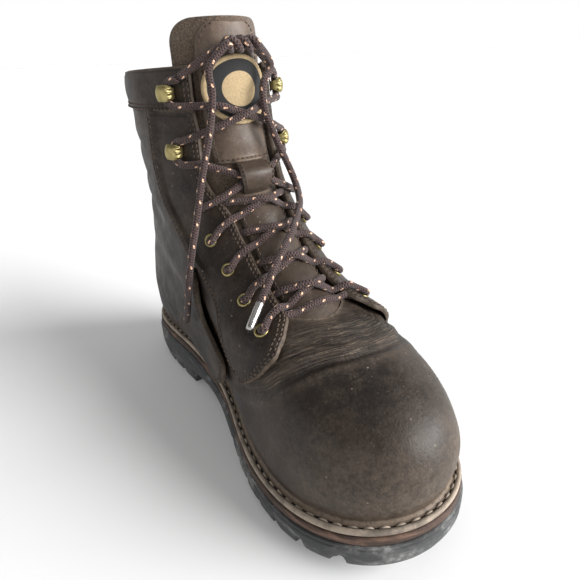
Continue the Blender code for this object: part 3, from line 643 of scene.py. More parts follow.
def tube(route, radius, sides):
    """Points, faces and fields of a round tube along a route, with tapered closed ends."""
    run = np.gradient(route, axis=0)
    run /= np.linalg.norm(run, axis=1, keepdims=True)
    across = np.cross(run[0], (0.3, 0.5, 0.8))
    angle = np.linspace(0, 2 * math.pi, sides + 1)[:-1]
    along = np.concatenate([[0], np.cumsum(np.linalg.norm(np.diff(route, axis=0), axis=1))])
    rings = []
    for i, (place, way) in enumerate(zip(route, run)):
        across = across - way * (across @ way)
        across /= np.linalg.norm(across)
        size = radius * (0.05 if i in (0, len(route) - 1) else 1.0)
        spoke = np.outer(np.cos(angle), across) + np.outer(np.sin(angle), np.cross(way, across))
        rings.append(place + size * spoke)
    faces = grid_faces(len(route), sides, True).reshape(-1, 4)
    fields = {
        "along": np.repeat(along, sides),
        "round_c": np.tile(np.cos(angle), len(route)),
        "round_s": np.tile(np.sin(angle), len(route)),
    }
    return np.concatenate(rings), faces, fields


def joined(parts):
    """Several lots of points, faces and fields as one."""
    points, faces, fields = [], [], {}
    total = 0
    for part_points, part_faces, part_fields in parts:
        points.append(part_points)
        faces.append(np.asarray(part_faces) + total)
        total += len(part_points)
        for key, values in part_fields.items():
            fields.setdefault(key, []).append(values)
    return np.concatenate(points), np.concatenate(faces), {k: np.concatenate(v) for k, v in fields.items()}


# Materials


class Nodes:
    """A material's node tree, with short calls for the nodes used here."""

    def __init__(self, name):
        self.material = bpy.data.materials.new(name)
        self.material.use_nodes = True
        self.tree = self.material.node_tree
        self.shader = self.tree.nodes["Principled BSDF"]
        self.place = self.tree.nodes.new("ShaderNodeTexCoord").outputs["Object"]

    def link(self, source, socket):
        self.tree.links.new(source, socket)

    def feed(self, value, socket):
        if hasattr(value, "node"):
            self.link(value, socket)
        else:
            socket.default_value = value

    def noise(self, scale, detail=3.0, rough=0.55, stretch=(1, 1, 1), distort=0.0):
        place = self.place
        if stretch != (1, 1, 1):
            mapping = self.tree.nodes.new("ShaderNodeMapping")
            mapping.inputs["Scale"].default_value = stretch
            self.link(place, mapping.inputs["Vector"])
            place = mapping.outputs["Vector"]
        node = self.tree.nodes.new("ShaderNodeTexNoise")
        node.inputs["Scale"].default_value = scale
        node.inputs["Detail"].default_value = detail
        node.inputs["Roughness"].default_value = rough
        node.inputs["Distortion"].default_value = distort
        self.link(place, node.inputs["Vector"])
        return node.outputs["Fac"]

    def cells(self, scale, feature="F1", rough=0.0):
        node = self.tree.nodes.new("ShaderNodeTexVoronoi")
        node.feature = feature
        node.inputs["Scale"].default_value = scale
        node.inputs["Detail"].default_value = rough
        self.link(self.place, node.inputs["Vector"])
        return node.outputs["Distance"]

    def field(self, name):
        node = self.tree.nodes.new("ShaderNodeAttribute")
        node.attribute_name = name
        return node.outputs["Fac"]

    def streaks(self, along, away, across):
        """Noise drawn out along a crease, from distances in millimetres."""
        join = self.tree.nodes.new("ShaderNodeCombineXYZ")
        self.link(self.math("MULTIPLY", along, 0.045), join.inputs["X"])
        self.link(self.math("MULTIPLY", away, across), join.inputs["Y"])
        node = self.tree.nodes.new("ShaderNodeTexNoise")
        node.inputs["Scale"].default_value = 1.0
        node.inputs["Detail"].default_value = 4.0
        node.inputs["Roughness"].default_value = 0.6
        node.inputs["Distortion"].default_value = 0.06
        self.link(join.outputs["Vector"], node.inputs["Vector"])
        return node.outputs["Fac"]

    def axis(self, name):
        node = self.tree.nodes.new("ShaderNodeSeparateXYZ")
        self.link(self.place, node.inputs[0])
        return node.outputs[name]

    def math(self, kind, a, b=0.0, c=None):
        node = self.tree.nodes.new("ShaderNodeMath")
        node.operation = kind
        self.feed(a, node.inputs[0])
        self.feed(b, node.inputs[1])
        if c is not None:
            self.feed(c, node.inputs[2])
        return node.outputs[0]

    def span(self, value, low, high, to_low=0.0, to_high=1.0):
        node = self.tree.nodes.new("ShaderNodeMapRange")
        node.interpolation_type = "SMOOTHSTEP"
        self.feed(value, node.inputs["Value"])
        for key, number in (("From Min", low), ("From Max", high), ("To Min", to_low), ("To Max", to_high)):
            node.inputs[key].default_value = number
        return node.outputs["Result"]

    def mix(self, share, a, b):
        node = self.tree.nodes.new("ShaderNodeMix")
        node.data_type = "RGBA"
        self.feed(share, node.inputs["Factor"])
        for value, socket in ((a, node.inputs["A"]), (b, node.inputs["B"])):
            if not hasattr(value, "node"):
                value = (*value, 1.0)
            self.feed(value, [s for s in node.inputs if s.name == socket.name and s.type == "RGBA"][0])
        return [s for s in node.outputs if s.type == "RGBA"][0]

    def bump(self, height, depth, below=None):
        node = self.tree.nodes.new("ShaderNodeBump")
        node.inputs["Distance"].default_value = depth
        node.inputs["Strength"].default_value = 1.0
        self.link(height, node.inputs["Height"])
        if below is not None:
            self.link(below, node.inputs["Normal"])
        return node.outputs["Normal"]

    def finish(self, base, roughness, normal=None, **sockets):
        self.feed(base if hasattr(base, "node") else (*base, 1.0), self.shader.inputs["Base Color"])
        self.feed(roughness, self.shader.inputs["Roughness"])
        if normal is not None:
            self.link(normal, self.shader.inputs["Normal"])
        for key, value in sockets.items():
            self.shader.inputs[key.replace("_", " ").title().replace("Ior", "IOR")].default_value = value
        return self.material


def leather_tones():
    look = colours()
    return look.leather_dark, look.leather_mid, look.leather_dust_and_highlight


def leather(name, dark, mid, dust, dusty=0.5, grain=1.0, coat=0.06, flex=False):
    """Oiled leather: mottled colour, fine grain, nicks, painted shade in the stitch grooves, and pale edges
    and ridges, the ridges partly a painted highlight.
    """
    n = Nodes(name)
    mottle = n.math("ADD", n.noise(22, 6.0, 0.62), n.math("MULTIPLY", n.noise(190, 5.0, 0.7), 0.55))
    body = n.mix(n.span(mottle, 0.58, 0.98), tuple(dark), tuple(mid))
    wear_and_painted_light = n.field("wear_and_painted_light")
    patchy = n.math("MULTIPLY", wear_and_painted_light, n.span(n.noise(340, 8.0, 0.8), 0.26, 0.78))
    smear = n.span(n.noise(40, 7.0, 0.68, distort=0.5), 0.48, 0.74)
    cloud = n.math("MULTIPLY", smear, n.span(n.noise(420, 4.0, 0.7), 0.34, 0.68))
    rub = n.math("ADD", patchy, n.math("MULTIPLY", cloud, 0.3 * dusty))
    dot = n.span(n.cells(170), 0.13, 0.06)
    speck = n.math("MULTIPLY", dot, n.span(n.noise(30, 2.0), 0.44, 0.56, 0.0, 1.1 * dusty))
    rub = n.math("ADD", rub, speck)
    grit = n.span(n.noise(900, 2.0, 0.5), 0.60, 0.74, 0.0, 0.22 * dusty)
    rub = n.math("ADD", rub, grit)
    normal = n.bump(n.cells(900, "SMOOTH_F1"), -0.00014 * grain)
    normal = n.bump(n.noise(260, 5.0, 0.62), 0.00026 * grain, normal)
    if flex:
        away = n.field("flex_away")
        along = n.field("flex_along")
        folds = n.streaks(along, away, 0.62)
        lines = n.streaks(along, away, 2.3)
        zone = n.math("MULTIPLY", n.span(away, -2.5, 3.0), n.span(away, 32.0, 20.0))
        # The thin pale lines along the wrinkles are painted highlights; the broader pale folds are dust in
        # the creases.
        pale = n.math("ADD", n.span(lines, 0.54, 0.66, 0.0, 0.78), n.span(folds, 0.47, 0.70, 0.0, 0.28))
        rub = n.math("ADD", rub, n.math("MULTIPLY", pale, zone))
        normal = n.bump(n.math("MULTIPLY", folds, zone), 0.0014, normal)
        normal = n.bump(n.math("MULTIPLY", lines, zone), 0.0007, normal)
    rub = n.math("MINIMUM", rub, 0.92)
    base = n.mix(rub, body, tuple(dust))
    # Painted shade: the stitch grooves darken to under half the dark leather.
    base = n.mix(n.math("MULTIPLY", n.field("seam"), 0.7), base, tuple(v * 0.4 for v in dark))
    gloss = n.math("ADD", n.span(n.noise(90, 4.0, 0.6), 0.3, 0.7, 0.44, 0.60), n.math("MULTIPLY", rub, 0.25))
    return n.finish(base, gloss, normal, coat_weight=coat, coat_roughness=0.36, specular_ior_level=0.24)


def woven(name, ground, pitch, depth=0.5, dust=(0.2, 0.16, 0.12)):
    """Coarse cloth: raised threads, painted shade in the gaps between them, and a little dust."""
    n = Nodes(name)
    weave = n.math("SUBTRACT", 1.0, n.cells(1 / pitch))
    shade = n.span(weave, 0.35, 0.8)
    base = n.mix(shade, tuple(v * (1 - depth) for v in ground), tuple(ground))
    base = n.mix(n.span(n.noise(110, 4.0), 0.52, 0.8, 0.0, 0.3), base, dust)
    normal = n.bump(weave, pitch * 0.4 * depth)
    return n.finish(base, 0.85, normal, sheen_weight=0.2, sheen_roughness=0.5)


def metal(name, tone, rough=0.32, worn=0.5):
    """Antique metal with dark tarnish in patches and bright spots between them."""
    n = Nodes(name)
    tarnish = n.span(n.noise(240, 5.0, 0.65), 0.40, 0.80, 0.0, worn)
    base = n.mix(tarnish, tuple(tone), tuple(v * 0.25 for v in tone))
    gloss = n.span(n.noise(700, 3.0), 0.3, 0.7, rough - 0.08, rough + 0.16)
    return n.finish(base, gloss, n.bump(n.noise(1500, 2.0), 0.00005), metallic=1.0)


def lace_braid():
    """Round braid: crossing strands, with bright flecks in pairs along it."""
    look = colours()
    n = Nodes("lace_braid")
    along = n.field("along")
    angle = n.math("ARCTAN2", n.field("round_s"), n.field("round_c"))
    share = n.math("MULTIPLY", angle, 1 / (2 * math.pi))
    rise = n.math("MULTIPLY", along, 1 / 1.6)
    strands = []
    for sign in (1, -1):
        phase = n.math("ADD", rise, n.math("MULTIPLY", share, 4.0 * sign))
        strands.append(n.math("SINE", n.math("MULTIPLY", phase, 2 * math.pi)))
    braid = n.math("MAXIMUM", *strands)
    step = n.math("MULTIPLY", along, 1 / 6.6)
    count = n.math("FLOOR", step)
    down = n.math("MULTIPLY", n.math("SUBTRACT", n.math("FRACT", step), 0.5), 6.6)
    around = n.math("ADD", n.math("MULTIPLY", share, 2.0), n.math("MULTIPLY", count, 0.5))
    around = n.math("MULTIPLY", n.math("SUBTRACT", n.math("FRACT", n.math("ADD", around, 20.0)), 0.5), 6.9)
    lean = n.math("ADD", down, n.math("MULTIPLY", around, 0.7))
    far = n.math("ADD", n.math("POWER", n.math("MULTIPLY", around, 1 / 0.72), 2.0),
                 n.math("POWER", n.math("MULTIPLY", lean, 1 / 0.95), 2.0))
    fleck = n.span(far, 1.15, 0.75)
    # Painted shade: the ground darkens to about a fifth in the gaps between the strands.
    strand_gap_shade = tuple(v * 0.22 for v in look.lace_ground)
    ground = n.mix(n.span(braid, -0.2, 1.0), strand_gap_shade, tuple(look.lace_ground))
    ground = n.mix(n.span(n.noise(300, 3.0), 0.5, 0.8, 0.0, 0.3), ground, (0.20, 0.13, 0.11))
    base = n.mix(fleck, ground, tuple(look.lace_fleck))
    return n.finish(base, 0.72, n.bump(braid, 0.00035), sheen_weight=0.15, sheen_roughness=0.4)


def thread_material(name, tone):
    n = Nodes(name)
    twist = n.noise(1600, 2.0, 0.5, (1.0, 1.0, 2.0))
    base = n.mix(n.span(n.noise(70, 4.0), 0.35, 0.7), tuple(v * 0.45 for v in tone), tuple(tone))
    return n.finish(base, 0.75, n.bump(twist, 0.0001))


def rubber(name):
    """Outsole rubber: dark grey with scuffed pale patches."""
    look = colours()
    n = Nodes(name)
    scuff = n.span(n.noise(30, 6.0, 0.62, (1.0, 1.0, 2.2), 0.8), 0.46, 0.60)
    fine = n.span(n.noise(240, 4.0, 0.6), 0.4, 0.7, 0.25, 1.0)
    base = n.mix(n.math("MULTIPLY", scuff, fine), tuple(look.rubber_grey), tuple(look.rubber_worn))
    pits = n.cells(700, "F1")
    normal = n.bump(n.noise(160, 5.0, 0.6), 0.0006)
    normal = n.bump(pits, -0.00012, normal)
    return n.finish(base, n.span(scuff, 0, 1, 0.62, 0.82), normal, specular_ior_level=0.35)


def layered(name, tone, stain, scale=40):
    """Worn strip of the sole's side: streaks along it, stains and nicks."""
    n = Nodes(name)
    streak = n.span(n.noise(scale, 6.0, 0.65, (0.7, 0.7, 4.0), 0.5), 0.33, 0.55)
    base = n.mix(streak, tuple(tone), tuple(stain))
    nick = n.span(n.noise(520, 3.0, 0.6), 0.60, 0.70, 0.0, 0.6)
    base = n.mix(nick, base, tuple(v * 0.3 for v in tone))
    normal = n.bump(n.noise(330, 5.0, 0.65), 0.0005)
    return n.finish(base, 0.78, normal)


# Operators


class BOOT_OT_stage(bpy.types.Operator):
    """Lay the floor and set the lights and the camera"""

    bl_idname = "boot.stage"
    bl_label = "Studio"

    CAMERA_AT = (-144.1, -251.5, 237.8)
    AZIMUTH = -32.6
    ELEVATION = 26.2
    ROLL = -2.5
    # Name, way to the light, strength, spread in degrees
    SUNS = (
        ("key_light", (0.58, -0.72, 0.38), 6.6, 45.0),
        ("top_light", (0.1, 0.2, 1.0), 0.5, 80.0),
    )

    def execute(self, context):
        n = Nodes("studio_floor")
        tone = tuple(colours().floor)
        base = n.mix(n.span(n.noise(6, 3.0), 0.3, 0.7, 0.0, 0.3), tone, tuple(v * 0.97 for v in tone))
        material = n.finish(base, 0.9, emission_color=(1.0, 1.0, 1.0, 1.0), emission_strength=0.08)
        mesh = bpy.data.meshes.new("studio_floor")
        reach = 60.0
        corners = [(-reach, -reach, 0), (reach, -reach, 0), (reach, reach, 0), (-reach, reach, 0)]
        mesh.from_pydata(corners, [], [(0, 1, 2, 3)])
        mesh.materials.append(material)
        floor = bpy.data.objects.new("studio_floor", mesh)
        context.scene.collection.objects.link(floor)
        self.make_world(context.scene)
        for name, way, strength, spread in self.SUNS:
            light = bpy.data.lights.new(name, "SUN")
            light.energy = strength
            light.angle = math.radians(spread)
            lamp = bpy.data.objects.new(name, light)
            lamp.matrix_world = self.facing(np.array(way), 0.0, np.array(way))
            context.scene.collection.objects.link(lamp)
        az, el = math.radians(self.AZIMUTH), math.radians(self.ELEVATION)
        back = np.array([math.sin(az) * math.cos(el), -math.cos(az) * math.cos(el), math.sin(el)])
        lens = bpy.data.cameras.new("photo_camera")
        lens.sensor_fit = "HORIZONTAL"
        lens.angle = sizes().camera_angle
        lens.clip_start = 0.005
        camera = bpy.data.objects.new("photo_camera", lens)
        camera.matrix_world = self.facing(back, self.ROLL, np.array(self.CAMERA_AT) * MM)
        context.scene.collection.objects.link(camera)
        context.scene.camera = camera
        context.scene.view_settings.view_transform = "Standard"
        return {"FINISHED"}

    @staticmethod
    def make_world(scene):
        """A studio room that is white near the horizon and dimmer overhead."""
        world = bpy.data.worlds.new("studio_world")
        world.use_nodes = True
        tree = world.node_tree
        place = tree.nodes.new("ShaderNodeTexCoord")
        split = tree.nodes.new("ShaderNodeSeparateXYZ")
        shade = tree.nodes.new("ShaderNodeMapRange")
        tree.links.new(place.outputs["Generated"], split.inputs[0])
        tree.links.new(split.outputs["Z"], shade.inputs["Value"])
        for key, value in (("From Min", 0.26), ("From Max", 0.6), ("To Min", 1.0), ("To Max", 0.10)):
            shade.inputs[key].default_value = value
        tree.links.new(shade.outputs["Result"], tree.nodes["Background"].inputs["Strength"])
        tree.nodes["Background"].inputs["Color"].default_value = (1.0, 1.0, 1.0, 1.0)
        scene.world = world

    @staticmethod
    def facing(back, roll, place):
        """A matrix that looks along -back from a place, rolled in degrees."""
        back = back / np.linalg.norm(back)
        right = np.cross((0.0, 0.0, 1.0), back)
        right /= np.linalg.norm(right)
        up = np.cross(back, right)
        c, s = math.cos(math.radians(roll)), math.sin(math.radians(roll))
        right, up = right * c + up * s, up * c - right * s
        rows = [[right[i], up[i], back[i], place[i]] for i in range(3)]
        return Matrix(rows + [[0, 0, 0, 1]])


def loop_stack(rings):
    """Points and faces of a closed band from rings of points, last ring joined to the first."""
    rings = np.array(rings)
    count, around = rings.shape[:2]
    index = np.arange(count * around).reshape(count, around)
    index = np.vstack([index, index[:1]])
    index = np.hstack([index, index[:, :1]])
    faces = np.stack([index[:-1, :-1], index[:-1, 1:], index[1:, 1:], index[1:, :-1]], -1).reshape(-1, 4)
    return rings.reshape(-1, 3), faces[:, ::-1]


def cap_faces(loop):
    """Strips across a closed loop whose halves mirror each other from its first point."""
    loop = [int(i) for i in loop]
    around = len(loop)
    strips = []
    for k in range(around // 2):
        strips.append(tuple(dict.fromkeys((loop[k], loop[k + 1], loop[-k - 1], loop[-k % around]))))
    return strips


def level_ring(grow, drop, turns):
    points = sole_outline(grow, turns)
    points[:, 2] = sole_line(points[:, 1]) - drop
    return points


def tread_height(points):
    """Height of the tread under places of the sole: toe spring, arch, heel breast and lug grooves."""
    x, y = points[..., 0], points[..., 1]
    toe = np.clip((BALL_Y - y) / (BALL_Y - TOE_Y), 0, None)
    height = TOE_SPRING * toe**2
    groove = np.zeros_like(y)
    for lugs, lean in ((FOREFOOT_LUGS, 1), (HEEL_LUGS, -1)):
        for at in lugs:
            line = at + lean * math.tan(math.radians(LUG_TURN)) * (np.abs(x) - LUG_MIDDLE)
            cut = ease((LUG_GAP / 2 + 0.7 - np.abs(y - line)) / 1.4) * ease((np.abs(x) - SPINE_HALF) / 2.0)
            groove = np.maximum(groove, cut)
    height = height + LUG_DEPTH * groove
    front = np.clip((y - ARCH_FRONT_Y) / (ARCH_TOP_Y - ARCH_FRONT_Y), 0, 1)
    breast = np.clip((HEEL_BREAST_Y - y) / HEEL_SLANT, 0, 1)
    return np.maximum(height, ARCH_RISE * np.sin(front * math.pi / 2) * breast)


class BOOT_OT_sole(bpy.types.Operator):
    """Build the outsole, midsole, welt with its stitches, and insole"""

    bl_idname = "boot.sole"
    bl_label = "Sole"

    AROUND = 480
    WELT_PROFILE = (
        (1.6, 0.4), (2.4, 0.9), (3.1, 1.1), (3.6, 0.9), (4.0, 0.35), (4.7, 0.25),
        (5.4, 0.5), (5.85, 0.95), (6.0, 1.5), (6.0, 2.7), (5.7, 3.4), (5.0, 3.9),
    )

    def execute(self, context):
        look = colours()
        turns = np.linspace(-math.pi, math.pi, self.AROUND + 1)[:-1]
        self.make_outsole(turns)
        top = CLEAR + WELT_LAYER + CLEAR
        bottom = top + MIDSOLE_LAYER
        profile = (
            (-WELT_INSET, top),
            (MIDSOLE_GROW - 1.0, top),
            (MIDSOLE_GROW - 0.3, top + 0.3),
            (MIDSOLE_GROW, top + 1.1),
            (MIDSOLE_GROW, bottom - 1.0),
            (MIDSOLE_GROW - 0.4, bottom - 0.2),
            (MIDSOLE_GROW - 1.2, bottom),
            (-WELT_INSET, bottom),
        )
        stain = tuple(v * 0.26 for v in look.midsole_tan)
        rings = [level_ring(grow, drop, turns) for grow, drop in profile]
        points, faces = loop_stack(rings)
        inside = len(rings) - 1
        fill = cap_faces(np.arange(self.AROUND)) + cap_faces(inside * self.AROUND + np.arange(self.AROUND))
        faces = faces[: -self.AROUND].tolist() + [f[::-1] for f in fill]
        material = layered("midsole_rubber", look.midsole_tan, stain)
        make_piece("midsole_edge", points, faces, material, ["midsole"])
        rings = [level_ring(-WELT_INSET, CLEAR, turns)]
        rings += [level_ring(grow, drop, turns) for grow, drop in self.WELT_PROFILE]
        rings += [level_ring(-WELT_INSET, CLEAR + WELT_LAYER, turns)]
        points, faces = loop_stack(rings)
        across = [-WELT_INSET] + [grow for grow, _ in self.WELT_PROFILE] + [-WELT_INSET]
        fields = {"across": np.repeat(across, self.AROUND)}
        make_piece("welt_strip", points, faces, self.welt_material(look), ["welt"], fields)
        self.make_welt_stitches()
        profile = ((0, 0.2), (0, 3.0), (0.9, INSOLE_LAYER))
        rings = [level_ring(-INSOLE_INSET - grow, -height, turns) for grow, height in profile]
        points = np.concatenate(rings)
        index = np.arange(len(points)).reshape(3, -1)
        faces = [tuple(f[::-1]) for f in grid_faces(3, self.AROUND, True).reshape(-1, 4)[:, ::-1]]
        faces += [f[::-1] for f in cap_faces(index[0])] + cap_faces(index[2])
        felt = woven("insole_weave", look.lining, 0.0016, 0.25)
        make_piece("insole_felt", points, faces, felt, ["insole"])
        return {"FINISHED"}

    @staticmethod
    def welt_material(look):
        """Pale worn strip beside the upper, with patchy grime, painted shade in the groove next to the upper,
        and a brown outer edge.
        """
        n = Nodes("welt_worn")
        across = n.math("ADD", n.field("across"), n.span(n.noise(120, 5.0), 0.3, 0.7, -0.5, 0.5))
        grime = tuple(v * 0.42 for v in look.welt_pale)
        pale = n.mix(n.span(n.noise(70, 6.0, 0.65), 0.42, 0.68), tuple(look.welt_pale), grime)
        edge = tuple(v * 0.36 for v in look.midsole_tan)
        base = n.mix(n.span(across, 6.3, 7.0), pale, edge)
        # Painted shade: near black in the groove along the upper, where the welt stitches sit.
        base = n.mix(n.span(n.field("across"), 3.75, 3.35), base, tuple(v * 0.06 for v in look.welt_pale))
        return n.finish(base, 0.8, n.bump(n.noise(330, 5.0, 0.65), 0.0005))

    def make_outsole(self, turns):
        """Side rings from the top edge down, closed by a tread of lugs."""
        top_drop = 3 * CLEAR + WELT_LAYER + MIDSOLE_LAYER
        bottom = sole_outline(OUTSOLE_GROW - TREAD_INSET, turns)
        bottom[:, 2] = tread_height(bottom)
        rings = [
            level_ring(OUTSOLE_GROW - 0.8, top_drop, turns),
            level_ring(OUTSOLE_GROW, top_drop + 0.5, turns),
            level_ring(OUTSOLE_GROW, top_drop + 2.0, turns),
            level_ring(OUTSOLE_GROW + RIB_GROW * 0.8, top_drop + 2.5, turns),
            level_ring(OUTSOLE_GROW + RIB_GROW, top_drop + 3.1, turns),
        ]
        low = rings[-1][:, 2] - bottom[:, 2]
        for share, grow in ((0.30, RIB_GROW), (0.55, RIB_GROW - 0.1), (0.78, -0.4), (0.93, -1.2)):
            step = sole_outline(OUTSOLE_GROW + grow, turns)
            step[:, 2] = rings[4][:, 2] - low * share
            rings.append(step)
        half = self.AROUND // 2
        strips = 56
        share = np.linspace(0, 1, strips + 1)[1:-1]
        middle = []
        for k in range(1, half):
            left, right = bottom[half - k], bottom[half + k]
            row = left + (right - left) * share[:, None]
            row[:, 2] = tread_height(row)
            middle.append(row)
        rings.append(bottom)
        points = np.concatenate(rings)
        start = len(points)
        points = np.concatenate([points] + middle)
        faces = grid_faces(len(rings), self.AROUND, True).reshape(-1, 4)[:, ::-1].tolist()
        edge = (len(rings) - 1) * self.AROUND
        width = strips - 1
        rows = [
            [edge + half - k] + [start + (k - 1) * width + j for j in range(width)] + [edge + half + k]
            for k in range(1, half)
        ]
        for a, b in zip(rows[:-1], rows[1:]):
            faces += [(a[j], a[j + 1], b[j + 1], b[j]) for j in range(strips)]
        for tip, row, turn in ((edge + half, rows[0], 1), (edge, rows[-1], -1)):
            faces += [(tip, row[j + 1], row[j])[::turn] for j in range(strips)]
        faces += [f[::-1] for f in cap_faces(np.arange(self.AROUND))]
        worn = rubber("outsole_worn")
        make_piece("outsole_lugged", points, faces, worn, ["outsole"], sharp=40)

    def make_welt_stitches(self):
        """Long thread stitches in a line round the welt, close to the upper."""
        turns = np.linspace(-math.pi, math.pi, 2000)
        line = level_ring(3.05, 0.15, turns)
        run = np.concatenate([[0], np.cumsum(np.linalg.norm(np.diff(line, axis=0), axis=1))])
        pitch = sizes().welt_pitch / MM
        count = round(run[-1] / pitch)
        at = (np.arange(count) + 0.5) * run[-1] / count
        angle = np.linspace(0, 2 * math.pi, 9)[:-1]
        points, faces = [], []
        for middle in at:
            ends = middle + np.linspace(-0.34, 0.34, 7) * pitch
            path = np.column_stack([np.interp(ends, run, column) for column in line.T])
            size = np.array([0.2, 0.55, 0.75, 0.8, 0.75, 0.55, 0.2])
            way = path[-1] - path[0]
            across = np.cross(way, (0, 0, 1.0))
            across /= np.linalg.norm(across)
            sink = np.array([-0.9, -0.35, -0.1, 0.0, -0.1, -0.35, -0.9])
            body = [
                place
                + np.outer(np.cos(angle) * 0.85 * s, across)
                + np.outer(np.sin(angle) * 0.7 * s + dip, (0, 0, 1.0))
                for place, s, dip in zip(path, size, sink)
            ]
            faces.append(grid_faces(7, 8, True).reshape(-1, 4) + len(points) * 56)
            points.append(np.concatenate(body))
        tone = tuple(v * 1.15 for v in colours().welt_pale)
        thread = thread_material("welt_thread", tone)
        make_piece("welt_thread", np.concatenate(points), np.concatenate(faces), thread)


class BOOT_OT_upper(bpy.types.Operator):
    """Build the creased leather wall of the boot with its lining"""

    bl_idname = "boot.upper"
    bl_label = "Upper"

    LEVELS = ((0.0, 0.08, 1), (0.08, 0.32, 7), (0.32, 2.6, 26), (2.6, 5.6, 84), (5.6, 10.0, 44))

    def execute(self, context):
        look = colours()
        levels = np.concatenate([np.linspace(a, b, n + 1)[:-1] for a, b, n in self.LEVELS] + [[10.0]])
        front, side, back = 30, 44, 60
        edge = throat(levels)[:, None]
        half = np.hstack([
            edge * np.linspace(0, 1, front + 1),
            edge + (76 - edge) * np.linspace(0, 1, side + 1)[1:],
            np.broadcast_to(np.linspace(76, 180, back + 1)[1:], (len(levels), back)),
        ])
        turns = np.hstack([-half[:, :0:-1], half])[:, 1:]
        grid = np.broadcast_to(levels[:, None], turns.shape)
        base = surface(grid, np.radians(turns))
        _, ridge_rub_and_highlight = relief(base)
        rim = ease((0.34 - grid) / 0.28) * 2.4
        throat_rim = np.exp(-np.abs(grid - THROAT_LEVEL) / 0.05) * (np.abs(turns) < edge + 8)
        # Paleness low on the toe: real rubbing there, made stronger toward the lateral side as painted light
        # where the key lamp falls.
        low_front = ease((-base[..., 1] - 60) / 80) * ease((92 - base[..., 2]) / 45)
        toe = low_front * (0.6 + 0.35 * ease(base[..., 0] / 40))
        wear_and_painted_light = np.clip(0.6 * ridge_rub_and_highlight + throat_rim + toe, 0, 1) + rim
        along, away = flex_place(base, grid)
        lip = 2.5 * np.clip(1 - np.clip(grid - 0.08, 0, 1) / 0.22, 0, 1) ** 2
        outer = raised(grid, turns, lip)
        outer[0, :, 2] = base[0, :, 2] + CLEAR
        inner = raised(grid, turns, -WALL)
        inner[0, :, 2] = base[0, :, 2] + CLEAR
        rows, around = turns.shape
        quads = grid_faces(rows, around, True)
        middle = around // 2 - 1
        low = int(np.argmin(np.abs(levels - THROAT_LEVEL)))
        keep = np.ones(quads.shape[:2], bool)
        keep[low:, middle - front : middle + front] = False
        faces = closed_sheet(quads[keep], rows * around)
        points = np.concatenate([outer.reshape(-1, 3), inner.reshape(-1, 3)])
        used = np.unique(faces)
        place = np.zeros(len(points), int)
        place[used] = np.arange(len(used))
        fields = {"wear_and_painted_light": wear_and_painted_light, "flex_along": along, "flex_away": away}
        fields = {key: np.tile(np.ravel(values), 2)[used] for key, values in fields.items()}
        material = leather("vamp_leather", *leather_tones(), 0.8, 1.0, 0.14, True)
        upper = make_piece(
            "upper_leather", points[used], place[faces], material, ["upper"], fields, sharp=60
        )
        upper.data.materials.append(woven("shaft_lining", look.lining, 0.0018, 0.25))
        count = int(keep.sum())
        slots = np.zeros(len(upper.data.polygons), np.int32)
        slots[count : 2 * count] = 1
        upper.data.polygons.foreach_set("material_index", slots)
        return {"FINISHED"}


def round_end(level, end, reach, front, rear):
    """Edges of a panel drawn in to a round end at its lowest level."""
    share = np.sqrt(np.clip(1 - (1 - np.clip((level - end) / reach, 0, 1)) ** 2, 0, 1))
    middle = (front + rear) / 2
    half = (rear - front) / 2 * np.maximum(share, 0.02)
    return middle - half, middle + half


